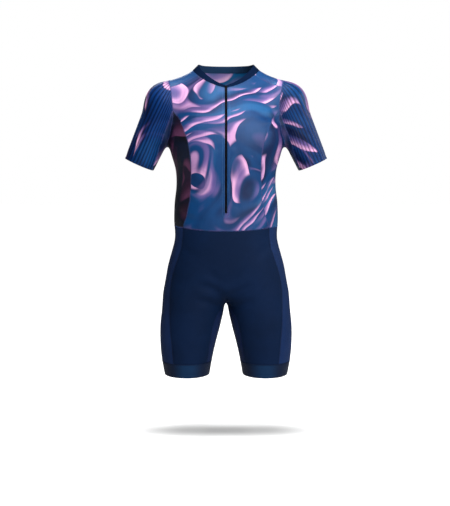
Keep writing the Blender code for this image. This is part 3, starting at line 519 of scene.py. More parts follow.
@dataclass
class SeamPlan:
    """Every seam of the suit's left half as a line of points on the worn form."""

    fine: int = 4
    across: int = 8
    side_across: int = 6
    side_rows: int = 14
    armhole_front_steps: int = 6
    armhole_back_steps: int = 10
    slit_rows: int = 12
    fly_rows: int = 2
    neck_front_steps: int = 5
    neck_back_steps: int = 7
    back_rise: int = 17
    seat_rows: int = 8
    inseam_rows: int = 6
    sleeve_rows: int = 10
    waist_front_z: float = -0.455
    waist_back_z: float = -0.447
    fork_z: float = -0.672
    hem_z: float = -0.8965
    neck_front_z: float = -0.047
    zip_end_z: float = -0.402
    slit_half: float = 0.0035
    fork_crowd: float = 1.6
    dense: int = 240
    front_turn: float = math.radians(86.0)
    shoulder_turn: float = math.radians(33.0)
    underarm_turn: float = math.radians(155.0)
    neck_turn: float = -32.0
    armhole_centre: tuple[float, float] = (0.003, -0.115)
    neck_centre: float = 0.010
    neck_half: tuple[float, float] = (0.096, 0.084)
    # Places across and heights of the seams that are seen from the front.
    side_seam: Rows = (
        (0.1245, -0.449), (0.1065, -0.3795), (0.1015, -0.3275), (0.1005, -0.287), (0.103, -0.2325),
        (0.109, -0.198), (0.120, -0.168), (0.1355, -0.1325), (0.153, -0.111),
    )
    shorts_seam: Rows = (
        (0.155, -0.855), (0.159, -0.802), (0.164, -0.746), (0.165, -0.682), (0.162, -0.618),
        (0.154, -0.580), (0.141, -0.5415), (0.128, -0.495), (0.1245, -0.449),
    )
    inseam: Rows = (
        (0.0585, -0.855), (0.0545, -0.839), (0.048, -0.791), (0.040, -0.748), (0.031, -0.718),
        (0.013, -0.690), (0.000, -0.672),
    )
    # The armhole's place across at each height.
    armhole_sheet: Rows = (
        (0.000, 0.169), (-0.026, 0.1655), (-0.050, 0.160), (-0.080, 0.1555), (-0.111, 0.153),
        (-0.140, 0.155), (-0.170, 0.161), (-0.209, 0.172), (-0.260, 0.184),
    )
    # The neckline's height by turn round the neck, from the front to the back.
    neckline: Rows = (
        (-90.0, -0.047), (-70.0, -0.0375), (-50.0, -0.0245), (-32.0, -0.0115), (-15.0, -0.001),
        (0.0, 0.003), (30.0, 0.0045), (60.0, 0.0035), (90.0, 0.0025),
    )
    lines: dict[str, Array] = field(default_factory=dict)

    def __post_init__(self) -> None:
        """Work out every seam once."""
        fine, line = self.fine, self.lines
        front, top = self.front_turn, self.shoulder_turn
        line["arm_front"] = self.armhole(front, top, self.armhole_front_steps * fine)
        line["arm_back"] = self.armhole(top, -front, self.armhole_back_steps * fine)
        steps = 2 * self.side_across * fine
        line["arm_low"] = self.armhole(front, 2.0 * math.pi - front, steps)

        rows = (self.seat_rows + self.inseam_rows) * fine
        for name, face, end, height in (
            ("front", Face.FRONT, 0, self.waist_front_z),
            ("back", Face.BACK, -1, self.waist_back_z),
        ):
            side = self.seen(self.side_seam, face, self.side_rows * fine)
            side[-1] = line["arm_low"][end]
            leg = self.seen(self.shorts_seam, face, rows)
            leg[-1] = side[0]
            inseam = self.seen(self.inseam, face, self.inseam_rows * fine, self.fork_crowd)
            inseam[-1, 0] = 0.0
            line["side_" + name], line["shorts_" + name], line["inseam_" + name] = side, leg, inseam
            line["waist_" + name] = self.waist(face, height, side[0])

        neck_start = -math.degrees(math.acos(self.slit_half / self.neck_half[0]))
        line["neck_front"] = self.neck(neck_start, self.neck_turn, self.neck_front_steps * fine)
        line["neck_back"] = self.neck(self.neck_turn, 90.0, self.neck_back_steps * fine)
        line["neck_back"][-1, 0] = 0.0
        top, edge = line["neck_front"][-1], line["arm_front"][-1]
        line["shoulder"] = taut(top, edge, self.across * fine)

        front, back = line["side_front"][0], line["side_back"][0]
        line["waist_side"] = self.round_arc((0.0, 0.0), front, back, 2 * self.side_across * fine)

        stops = ("inseam_front", "shorts_front", "shorts_back", "inseam_back", "inseam_front")
        counts = (self.across, self.side_across, self.across, self.side_across)
        names = ("band_front", "band_side", "band_back", "band_inner")
        for name, first, last, count in zip(names, stops[:-1], stops[1:], counts):
            line[name] = self.round_arc(FORM.leg_axis, line[first][0], line[last][0], count * fine)

        front, back = line["inseam_front"][-1], line["inseam_back"][-1]
        line["crotch"] = taut(front, back, self.side_across * fine, lock_x=True)
        line["under_front"] = self.under(line["arm_low"][0], self.underarm_turn)
        line["under_back"] = self.under(line["arm_low"][-1], -self.underarm_turn)

    def __getitem__(self, name: str) -> Array:
        """The line of that name."""
        return self.lines[name]

    def seen(self, rows: Rows | Array, face: Face, steps: int, crowd: float = 1.0) -> Array:
        """A seam seen from the front or back, its steps shorter towards its end by a power.

        Args:
            rows: Its places across and heights.
            face: Where it is seen from.
            steps: How many steps the line gets.
            crowd: The power.

        Returns:
            The line.
        """
        line = FORM.lay(face, smooth_line(rows))
        run = run_length(line)
        share = 1.0 - np.linspace(1.0, 0.0, steps + 1) ** crowd
        return read(share * run[-1], run, line)

    def armhole(self, start: float, end: float, steps: int) -> Array:
        """Part of the armhole: rays in a bowed sheet, turning from the top of the shoulder.

        Args:
            start: First turn, positive forwards and down.
            end: Last turn.
            steps: How many steps the line gets.

        Returns:
            The line.
        """
        turn = np.linspace(start, end, self.dense)

        def place(t: Array) -> Array:
            """Points of the rays at the given reach.

            Args:
                t: Reach of each ray.

            Returns:
                The points.
            """
            height = self.armhole_centre[1] + t * np.cos(turn)
            across = smooth_table(self.armhole_sheet, height)[0]
            return np.stack((across, self.armhole_centre[0] - t * np.sin(turn), height), -1)

        return spread(FORM.last_inside(place, np.full(turn.shape, 0.16)), steps)

    def neck(self, start: float, end: float, steps: int) -> Array:
        """Part of the neckline between two turns, settled from an oval round the neck.

        Args:
            start: First turn.
            end: Last turn.
            steps: How many steps the line gets.

        Returns:
            The line.
        """
        turn = np.linspace(start, end, self.dense)
        height = smooth_table(self.neckline, turn)[0]
        across = self.neck_half[0] * np.cos(np.radians(turn))
        aft = self.neck_centre + self.neck_half[1] * np.sin(np.radians(turn))
        return spread(FORM.settle(np.stack((across, aft, height), -1)), steps)

    def waist(self, face: Face, height: float, end: Array) -> Array:
        """The waist seam, whose height goes from the centre's with the place across squared.

        Args:
            face: Where it is seen from.
            height: Height at the centre.
            end: Top of the side seam.

        Returns:
            The line, from the centre to the side.
        """
        part = np.linspace(0.0, 1.0, 100)
        rows = np.stack((end[0] * part, height + (end[2] - height) * part ** 2), -1)
        line = self.seen(rows, face, self.across * self.fine)
        line[0, 0] = 0.0
        line[-1] = end
        return line

    def round_arc(self, centre: tuple[float, float], start: Array, end: Array, steps: int) -> Array:
        """The short way round a trunk or leg between two seams' ends, by turn.

        Args:
            centre: Centre across, and fore and aft.
            start: First point.
            end: Last point.
            steps: How many steps the line gets.

        Returns:
            The line.
        """
        first, last = (math.atan2(p[1] - centre[1], p[0] - centre[0]) for p in (start, end))
        if last < first:
            last += 2.0 * math.pi
        turn = np.linspace(first, last, self.dense)
        height = np.linspace(start[2], end[2], self.dense)

        def place(t: Array) -> Array:
            """Points of the rays at the given reach."""
            across = centre[0] + t * np.cos(turn)
            return np.stack((across, centre[1] + t * np.sin(turn), height), -1)

        line = spread(FORM.last_inside(place, np.full(turn.shape, 0.3)), steps)
        line[0], line[-1] = start, end
        return line

    def sleeve_hem(self, start: float, end: float, steps: int) -> Array:
        """Part of the sleeve's hem between two turns, from its outer side forwards and in.

        Args:
            start: First turn.
            end: Last turn.
            steps: How many steps the line gets.

        Returns:
            The line.
        """
        turn = np.degrees(np.linspace(start, end, steps + 1))
        length = np.full(turn.shape, FORM.sleeve_length)
        found = FORM.lay(Face.SLEEVE, np.stack((turn, length), -1))
        centre = FORM.shoulder + FORM.sleeve_length * FORM.arm_axis
        return found + (np.array(FORM.sleeve_end) - centre)

    def under(self, start: Array, turn: float) -> Array:
        """The seam under the arm, a straight line settled on the form, from armhole to hem.

        Args:
            start: Its end at the armhole.
            turn: Turn of its end at the hem.

        Returns:
            The line.
        """
        end = self.sleeve_hem(turn, turn, 1)[0]
        line = spread(taut(start, end, 119), self.sleeve_rows * self.fine)
        line[-1] = end
        return line


# Creases


@dataclass(frozen=True)
class Crease:
    """One soft trough or ridge along a line of three places."""

    face: Face
    path: Rows
    depth: float
    width: float
    side: float = 1.0
    bank: float = 0.35
    far: float = 4.0

    @cached_property
    def line(self) -> Array:
        """Its line on the worn form."""
        return FORM.lay(self.face, smooth_line(self.path, 20), self.side)

    def lift(self, points: Array) -> Array:
        """How far it lifts each point out of the cloth.

        The trough is minus depth times a bell of the distance to its line, less a share of it as
        a bank two widths away on both sides. It dies out along its line as a half wave.

        Args:
            points: Points on the worn form.

        Returns:
            The lift of each point, negative in the trough.
        """
        line = self.line
        reach = self.far * self.width
        near = np.all(points > line.min(0) - reach, axis=-1)
        near &= np.all(points < line.max(0) + reach, axis=-1)
        lifted = np.zeros(len(points))
        if not near.any():
            return lifted
        start, step = line[:-1], np.diff(line, axis=0)
        apart = points[near][:, None] - start[None]
        share = np.clip((apart * step).sum(-1) / (step ** 2).sum(-1), 0.0, 1.0)
        gap = np.linalg.norm(apart - share[..., None] * step, axis=-1)
        nearest = gap.argmin(axis=1)
        row = np.arange(len(gap))
        part = (nearest + share[row, nearest]) / len(step)
        d = gap[row, nearest] / self.width
        shape = np.exp(-(d ** 2)) - self.bank * np.exp(-((d - 2.0) ** 2) / 0.8)
        lifted[near] = -self.depth * shape * np.sin(math.pi * part) ** 0.8
        return lifted


FRONT_CREASES = (
    # Out of the armpits into the chest.
    (((0.151, -0.146), (0.124, -0.131), (0.084, -0.126)), 0.0022, 0.0085),
    (((0.155, -0.168), (0.130, -0.160), (0.098, -0.166)), 0.0016, 0.0080),
    (((0.147, -0.118), (0.128, -0.104), (0.104, -0.098)), 0.0012, 0.0090),
    # Soft drape beside the zip.
    (((0.010, -0.128), (0.030, -0.133), (0.052, -0.147)), 0.0009, 0.0075),
    (((0.009, -0.207), (0.024, -0.211), (0.041, -0.222)), 0.0007, 0.0070),
    (((0.010, -0.296), (0.032, -0.303), (0.057, -0.321)), 0.0010, 0.0080),
    (((0.011, -0.372), (0.027, -0.379), (0.043, -0.392)), 0.0008, 0.0065),
    # Round the waist.
    (((0.142, -0.405), (0.104, -0.418), (0.058, -0.424)), 0.0016, 0.0090),
    (((0.138, -0.352), (0.107, -0.364), (0.074, -0.381)), 0.0013, 0.0085),
    (((0.136, -0.303), (0.113, -0.311), (0.090, -0.325)), 0.0008, 0.0090),
    # From the hips and the fork over the thighs.
    (((0.150, -0.500), (0.118, -0.512), (0.078, -0.536)), 0.0012, 0.0105),
    (((0.010, -0.650), (0.038, -0.634), (0.082, -0.612)), 0.0036, 0.0110),
    (((0.010, -0.620), (0.030, -0.590), (0.062, -0.566)), 0.0016, 0.0110),
    (((0.018, -0.692), (0.046, -0.672), (0.088, -0.664)), 0.0022, 0.0090),
    (((0.064, -0.800), (0.096, -0.811), (0.132, -0.806)), 0.0009, 0.0090),
)
BACK_CREASES = (
    (((0.153, -0.140), (0.121, -0.122), (0.076, -0.112)), 0.0022, 0.0090),
    (((0.156, -0.170), (0.124, -0.166), (0.088, -0.178)), 0.0016, 0.0085),
    (((0.136, -0.222), (0.096, -0.236), (0.050, -0.238)), 0.0011, 0.0100),
    # The small of the back.
    (((0.096, -0.338), (0.050, -0.350), (0.004, -0.352)), 0.0015, 0.0095),
    (((0.122, -0.379), (0.074, -0.392), (0.018, -0.396)), 0.0018, 0.0090),
    (((0.090, -0.424), (0.046, -0.430), (0.006, -0.428)), 0.0011, 0.0080),
    # Under the seat and over the thighs.
    (((0.020, -0.655), (0.062, -0.690), (0.112, -0.694)), 0.0026, 0.0110),
    (((0.030, -0.700), (0.072, -0.722), (0.116, -0.718)), 0.0014, 0.0090),
    (((0.008, -0.560), (0.026, -0.600), (0.034, -0.640)), 0.0012, 0.0100),
    (((0.076, -0.806), (0.108, -0.816), (0.140, -0.808)), 0.0009, 0.0085),
)
SLEEVE_CREASES = (
    (((168.0, 0.020), (128.0, 0.034), (92.0, 0.050)), 0.0020, 0.0080),
    (((158.0, 0.066), (120.0, 0.078), (84.0, 0.084)), 0.0014, 0.0075),
    (((176.0, 0.104), (136.0, 0.120), (98.0, 0.126)), 0.0016, 0.0085),
    (((-168.0, 0.030), (-124.0, 0.044), (-86.0, 0.062)), 0.0020, 0.0085),
    (((-172.0, 0.086), (-130.0, 0.100), (-96.0, 0.104)), 0.0015, 0.0080),
    (((30.0, 0.142), (64.0, 0.150), (100.0, 0.146)), 0.0009, 0.0090),
)


@dataclass
class Creases:
    """All of the suit's creases, the right side's a little other than the left's."""

    seed: int = 11
    uneven: float = 0.35
    # How far the right side's creases stray: across and up, and in degrees and down the arm.
    moved: tuple[float, float] = (0.004, 0.007)
    turned: tuple[float, float] = (6.0, 0.005)
    found: list[Crease] = field(default_factory=list)

    def __post_init__(self) -> None:
        """Lay the tables' creases on both sides, with the right ones moved and changed."""
        tables = {Face.FRONT: FRONT_CREASES, Face.BACK: BACK_CREASES, Face.SLEEVE: SLEEVE_CREASES}
        draws = np.random.default_rng(self.seed)
        for face, table in tables.items():
            on_sleeve = face is Face.SLEEVE
            for path, depth, width in table:
                self.found.append(Crease(face, path, depth, width))
                change = 1.0 + self.uneven * draws.uniform(-1.0, 1.0)
                shift = draws.uniform(-1.0, 1.0, (3, 2))
                rows = np.array(path) + shift * (self.turned if on_sleeve else self.moved)
                if not on_sleeve:
                    rows[:, 0] = -np.abs(rows[:, 0])
                other, side = tuple(map(tuple, rows)), -1.0 if on_sleeve else 1.0
                self.found.append(Crease(face, other, depth * change, width, side))

    def lift(self, points: Array) -> Array:
        """The sum of all creases' lifts at points on the worn form."""
        return sum((crease.lift(points) for crease in self.found), np.zeros(len(points)))


# Sheets and meshes


def grid_faces(rows: int, columns: int) -> Array:
    """Four-sided faces of a grid, by index: first corner, to the right, up and back.

    Args:
        rows: How many rows of points it has.
        columns: How many points a row has.

    Returns:
        The faces, row by row.
    """
    index = np.arange(rows * columns).reshape(rows, columns)
    corners = (index[:-1, :-1], index[:-1, 1:], index[1:, 1:], index[1:, :-1])
    return np.stack([corner.ravel() for corner in corners], -1)


@dataclass
class Sheet:
    """An open surface of four-sided faces seen from outside, with its place in the cloth.

    The chart gives each face's corners four numbers: metres across and up the cloth, and the
    shares of its width and height.
    """

    points: Array
    inwards: Array
    faces: Array
    chart: Array

    @classmethod
    def from_grid(cls, grid: Array, inwards: Array, flip: bool = False, grain: bool = False) -> "Sheet":
        """Make a sheet from a grid whose rows go up and whose columns go to the right.

        The chart is measured along the grid's own rows and columns. With a straight grain, each
        step is split instead into its parts along the way across the wearer and up the cloth,
        and these are summed up the first column and then along the rows. The first point has
        its distance from the wearer's centre.

        Args:
            grid: Points by row and column.
            inwards: Unit vectors into the wall, by row and column.
            flip: Whether the columns go to the left as seen from outside.
            grain: Whether the knit runs straight up the wearer.

        Returns:
            The sheet.
        """
        rows, columns = grid.shape[:2]
        across, up = np.zeros((2, rows, columns))
        level, upright = np.diff(grid, axis=1), np.diff(grid, axis=0)
        if grain:
            side = -1.0 if flip else 1.0
            rising = unit(np.cross(-inwards, ACROSS) * side)
            aside = np.cross(rising, -inwards) * side
            across[0, 0] = grid[0, 0, 0]
            for chart, way in ((across, aside), (up, rising)):
                chart[1:, 0] = chart[0, 0] + (upright[:, 0] * way[1:, 0]).sum(-1).cumsum()
                steps = (level * way[:, 1:]).sum(-1).cumsum(axis=1)
                chart[:, 1:] = chart[:, :1] + steps
        else:
            across[:, 1:] = np.linalg.norm(level, axis=-1).cumsum(axis=1)
            up[1:] = np.linalg.norm(upright, axis=-1).cumsum(axis=0)
        share = np.meshgrid(np.linspace(0.0, 1.0, columns), np.linspace(0.0, 1.0, rows))
        chart = np.stack((across, up, *share), -1).reshape(-1, 4)
        faces = grid_faces(rows, columns)
        if flip:
            faces = faces[:, ::-1]
        return cls(grid.reshape(-1, 3).copy(), inwards.reshape(-1, 3).copy(), faces, chart[faces])

    def mirrored(self) -> "Sheet":
        """The same sheet on the wearer's other side, its faces turned to stay outwards."""
        turned = self.chart[:, ::-1] * (-1.0, 1.0, 1.0, 1.0)
        return Sheet(self.points * MIRROR, self.inwards * MIRROR, self.faces[:, ::-1], turned)

    def with_mirror(self) -> "Sheet":
        """The sheet and its mirror image as one, joined where both lie on the centre.

        Returns:
            The joined sheet.
        """
        count = len(self.points)
        shared = np.abs(self.points[:, 0]) < 1e-7
        number = np.where(shared, np.arange(count), count + np.cumsum(~shared) - 1)
        twin = self.mirrored()
        points = np.concatenate((self.points, twin.points[~shared]))
        inwards = np.concatenate((self.inwards, twin.inwards[~shared]))
        inwards[:count][shared, 0] = 0.0
        points[:count][shared, 0] = 0.0
        faces = np.concatenate((self.faces, number[twin.faces]))
        return Sheet(points, inwards, faces, np.concatenate((self.chart, twin.chart)))

    def closed_round(self, columns: int) -> "Sheet":
        """Make a ring: the last column's faces use the first column's points instead.

        Args:
            columns: How many columns of points it has.

        Returns:
            The ring.
        """
        row, column = np.divmod(self.faces, columns)
        kept = np.arange(len(self.points)) % columns < columns - 1
        faces = row * (columns - 1) + column % (columns - 1)
        return Sheet(self.points[kept], self.inwards[kept], faces, self.chart)

    def rim(self) -> tuple[Array, Array]:
        """Find the edges that only one face has.

        Returns:
            The edges as pairs in their face's own direction, and the chart at both ends.
        """
        following = np.roll(self.faces, -1, axis=1)
        edges = np.stack((self.faces, following), -1).reshape(-1, 2)
        charts = np.stack((self.chart, np.roll(self.chart, -1, axis=1)), 2).reshape(-1, 2, 4)
        count = len(self.points)
        code = edges[:, 0] * count + edges[:, 1]
        single = ~np.isin(code, edges[:, 1] * count + edges[:, 0])
        return edges[single], charts[single]

    def drawn_in(self, distance: float) -> "Sheet":
        """Move the whole rim in along the surface, by the mean of both edges' own ways in.

        Args:
            distance: How far the rim moves.

        Returns:
            The smaller sheet.
        """
        edges = self.rim()[0]
        pulls = np.zeros((len(self.points), 2, 3))
        along = self.points[edges[:, 1]] - self.points[edges[:, 0]]
        for slot, end in ((1, edges[:, 0]), (0, edges[:, 1])):
            pulls[end, slot] = unit(np.cross(-self.inwards[end], along))
        opening = np.maximum(1.0 + (pulls[:, 0] * pulls[:, 1]).sum(-1), 0.25)
        return replace(self, points=self.points + distance * pulls.sum(axis=1) / opening[:, None])

    def wall(
        self, thickness: float, raised: Array | float = 0.0, roll: float = 0.0
    ) -> tuple[Array, Array, Array]:
        """Give the sheet a thickness, with its rims rolled over.

        Args:
            thickness: Distance from the outer to the inner surface.
            raised: How far the outer points alone stand out.
            roll: How far both surfaces draw together at the rims.

        Returns:
            Points, faces and chart of a closed wall. The share of the width is higher by a
            whole number on the inner side, which tells finishes where the cloth's reverse is.
        """
        count = len(self.points)
        edges, charts = self.rim()
        at_rim = np.zeros(count)
        at_rim[edges.ravel()] = roll
        outer = self.points + (at_rim - raised)[:, None] * self.inwards
        inner = self.points + (thickness - at_rim * 0.6)[:, None] * self.inwards
        a, b = edges.T
        band = np.stack((b, a, a + count, b + count), -1)
        faces = np.concatenate((self.faces, self.faces[:, ::-1] + count, band))
        reverse = self.chart[:, ::-1] + (0.0, 0.0, INNER_SHARE, 0.0)
        chart = np.concatenate((self.chart, reverse, charts[:, (1, 0, 0, 1)]))
        return np.concatenate((outer, inner)), faces, chart

    def area(self) -> float:
        """Its area, as half the crossed diagonals of each face.

        Returns:
            Square metres.
        """
        corner = self.points[self.faces]
        crossed = np.cross(corner[:, 2] - corner[:, 0], corner[:, 3] - corner[:, 1])
        return float(np.linalg.norm(crossed, axis=-1).sum() / 2.0)

    def flat_size(self) -> tuple[float, float]:
        """Its widest width and its longest length, measured along the cloth."""
        across, up = self.chart[..., 0], self.chart[..., 1]
        return float(np.ptp(across)), float(np.ptp(up))


def edged(grid: Array, margin: float = 0.25) -> Array:
    """Add a row or column close inside each rim, so that a rolled rim stays narrow.

    Args:
        grid: Values by row and column.
        margin: Place of the added line as a share of the first step.

    Returns:
        The grid with four lines more.
    """
    for axis in (0, 1):
        last = grid.shape[axis] - 1
        at = np.sort(np.append(np.arange(last + 1.0), (margin, last - margin)))
        low = np.minimum(at.astype(int), last - 1)
        part = (at - low).reshape([-1 if k == axis else 1 for k in range(grid.ndim)])
        lower, upper = np.take(grid, low, axis), np.take(grid, low + 1, axis)
        grid = lower + part * (upper - lower)
    return grid


def make_piece(
    name: str,
    points: Array,
    faces: Array | list,
    material: Material,
    slot: str,
    node: str = "",
    chart: Array | None = None,
    sharp: float = 50.0,
    body: Body = Body.GARMENT,
) -> bpy.types.Object:
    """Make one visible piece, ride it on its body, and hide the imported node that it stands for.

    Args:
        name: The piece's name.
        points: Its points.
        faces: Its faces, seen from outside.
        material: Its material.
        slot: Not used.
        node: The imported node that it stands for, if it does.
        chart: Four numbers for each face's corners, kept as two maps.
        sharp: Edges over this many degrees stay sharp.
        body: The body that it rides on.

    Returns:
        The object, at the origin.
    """
    mesh = bpy.data.meshes.new(name)
    listed = faces.tolist() if isinstance(faces, np.ndarray) else faces
    mesh.from_pydata(points.tolist(), [], listed)
    if chart is not None:
        for label, columns in (("cloth", slice(0, 2)), ("share", slice(2, 4))):
            layer = mesh.uv_layers.new(name=label)
            layer.uv.foreach_set("vector", chart[..., columns].astype(np.float32).ravel())
    mesh.materials.append(material)
    mesh.validate()
    mesh.shade_smooth()
    mesh.set_sharp_from_angle(angle=math.radians(sharp))
    piece = bpy.data.objects.new(name, mesh)
    bpy.context.collection.objects.link(piece)
    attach(piece, body.value)
    if node:
        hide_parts(node)
    LOG.info("%s: %d points, %d faces", name, len(points), len(listed))
    return piece


# Finishes


class Graph:
    """A material's nodes, with short ways to add what the finishes use."""

    def __init__(self, name: str, roughness: float, specular: float = 0.5) -> None:
        """Start a material with a principled shader.

        Args:
            name: The material's name.
            roughness: The shader's roughness.
            specular: The shader's specular level.
        """
        self.material = bpy.data.materials.new(name)
        self.material.use_nodes = True
        self.tree = self.material.node_tree
        self.shader = self.tree.nodes["Principled BSDF"]
        self.shader.inputs["Roughness"].default_value = roughness
        self.shader.inputs["Specular IOR Level"].default_value = specular

    def wire(self, socket: Socket, value: Value) -> None:
        """Link a socket to another, or set its own value.

        Args:
            socket: The input.
            value: Another node's output, or a value.
        """
        if isinstance(value, Socket):
            self.tree.links.new(value, socket)
        else:
            socket.default_value = value

    def add(self, kind: str, inputs: dict[str, Value], **settings: str) -> bpy.types.Node:
        """Add a node, its inputs by name and its settings by attribute.

        Args:
            kind: Blender's name of the node.
            inputs: What its inputs get.
            settings: What its attributes get.

        Returns:
            The node.
        """
        node = self.tree.nodes.new(kind)
        for key, value in settings.items():
            setattr(node, key, value)
        for key, value in inputs.items():
            self.wire(node.inputs[key], value)
        return node

    def math(self, operation: str, *values: Value) -> Socket:
        """One step of arithmetic.

        Args:
            operation: Blender's name of the step.
            values: What it takes.

        Returns:
            The result.
        """
        node = self.add("ShaderNodeMath", {}, operation=operation)
        for socket, value in zip(node.inputs, values):
            self.wire(socket, value)
        return node.outputs[0]

    def rise(self, value: Socket, low: float, high: float) -> Socket:
        """A smooth step from 0 to 1 as the value goes from low to high.

        Args:
            value: The value.
            low: Where the step starts.
            high: Where it ends.

        Returns:
            The step's height.
        """
        inputs = {"Value": value, "From Min": low, "From Max": high}
        node = self.add("ShaderNodeMapRange", inputs, interpolation_type="SMOOTHSTEP")
        return node.outputs["Result"]

    def mix(self, share: Value, first: Value, second: Value) -> Socket:
        """One colour going over into another by a share.

        Args:
            share: Share of the second.
            first: First colour.
            second: Second colour.

        Returns:
            The colour between them.
        """
        node = self.add("ShaderNodeMix", {}, data_type="RGBA")
        for index, value in ((0, share), (6, first), (7, second)):
            self.wire(node.inputs[index], value)
        return node.outputs[2]

    def shade(self, colour: Socket, share: Socket) -> Socket:
        """A colour times a number.

        Args:
            colour: The colour.
            share: The number.

        Returns:
            The darker or lighter colour.
        """
        node = self.add("ShaderNodeVectorMath", {}, operation="MULTIPLY")
        for socket, value in zip(node.inputs, (colour, share)):
            self.wire(socket, value)
        return node.outputs[0]

    def noise(self, vector: Socket, scale: float, detail: float) -> Socket:
        """Soft noise from 0 to 1 at a scale per metre."""
        inputs = {"Vector": vector, "Scale": scale, "Detail": detail, "Roughness": 0.5}
        return self.add("ShaderNodeTexNoise", inputs).outputs["Fac"]

    def place(self) -> Socket:
        """The point's place in metres."""
        return self.tree.nodes.new("ShaderNodeTexCoord").outputs["Object"]

    def map_of(self, label: str) -> tuple[Socket, Socket]:
        """The two numbers of one of the piece's own maps.

        Args:
            label: The map's name.

        Returns:
            Both numbers.
        """
        node = self.add("ShaderNodeUVMap", {}, uv_map=label)
        parts = self.add("ShaderNodeSeparateXYZ", {"Vector": node.outputs[0]})
        return parts.outputs[0], parts.outputs[1]

    def moved(self, vector: Socket, shift: tuple, turn: tuple, scale: tuple) -> Socket:
        """A vector moved, turned (in degrees) and scaled.

        Args:
            vector: The vector.
            shift: How far it moves.
            turn: Turns about x, y and z.
            scale: Scales along them.

        Returns:
            The new vector.
        """
        rotation = tuple(math.radians(angle) for angle in turn)
        inputs = {"Vector": vector, "Location": shift, "Rotation": rotation, "Scale": scale}
        return self.add("ShaderNodeMapping", inputs).outputs[0]

    def knit(self, wale: float, course: float) -> Socket:
        """Height of a plain knit: rows of arrow-shaped loops standing in columns.

        Across a column the height is one minus the square of the distance from its middle, and
        up it a sine whose phase leads on both sides of the middle, which draws the arrows.

        Args:
            wale: Width of a column of loops.
            course: Height of a loop.

        Returns:
            The height, from 0 to 1.
        """
        across, up = self.map_of("cloth")
        cell = self.math("FRACT", self.math("DIVIDE", across, wale))
        side = self.math("ABSOLUTE", self.math("SUBTRACT", cell, 0.5))
        phase = self.math("ADD", self.math("DIVIDE", up, course), side)
        loop = self.math("SINE", self.math("MULTIPLY", phase, 2.0 * math.pi))
        round_loop = self.math("MULTIPLY_ADD", loop, 0.22, 0.78)
        square = self.math("MULTIPLY", side, side)
        column = self.math("MULTIPLY_ADD", square, -3.6, 1.0)
        return self.math("MULTIPLY", column, round_loop)

    def reverse(self, colour: Socket, power: float) -> Socket:
        """A colour paler on the cloth's reverse: its own paler back, and painted light in the neck.

        On the reverse, the colour's parts are taken to a power.

        Args:
            colour: Colour of the outer side.
            power: The power, below one for paler.

        Returns:
            The colour of both sides.
        """
        # Partly the cloth's own paler back, partly painted light for the inside of the neck.
        inside = self.math("GREATER_THAN", self.map_of("share")[0], INNER_SHARE - 0.5)
        paler = self.add("ShaderNodeGamma", {"Color": colour, "Gamma": power})
        return self.mix(inside, colour, paler.outputs[0])

    def bump(self, *heights: tuple[Socket, float]) -> None:
        """Raise the surface by the sum of heights, each times its own metres.

        Args:
            heights: Each height and its metres.
        """
        total: Socket | None = None
        for height, metres in heights:
            part = self.math("MULTIPLY", height, metres)
            total = part if total is None else self.math("ADD", total, part)
        node = self.add("ShaderNodeBump", {"Height": total, "Distance": 1.0, "Strength": 1.0})
        self.wire(self.shader.inputs["Normal"], node.outputs[0])

    def finish(self, colour: Socket, sheen: float = 0.0, sheen_tint: Value = (1, 1, 1, 1)) -> None:
        """Give the shader its colour and its sheen.

        Args:
            colour: The colour.
            sheen: How much sheen.
            sheen_tint: Its colour.
        """
        inputs = self.shader.inputs
        self.wire(inputs["Base Color"], colour)
        inputs["Sheen Weight"].default_value = sheen
        inputs["Sheen Roughness"].default_value = 0.45
        inputs["Sheen Tint"].default_value = sheen_tint


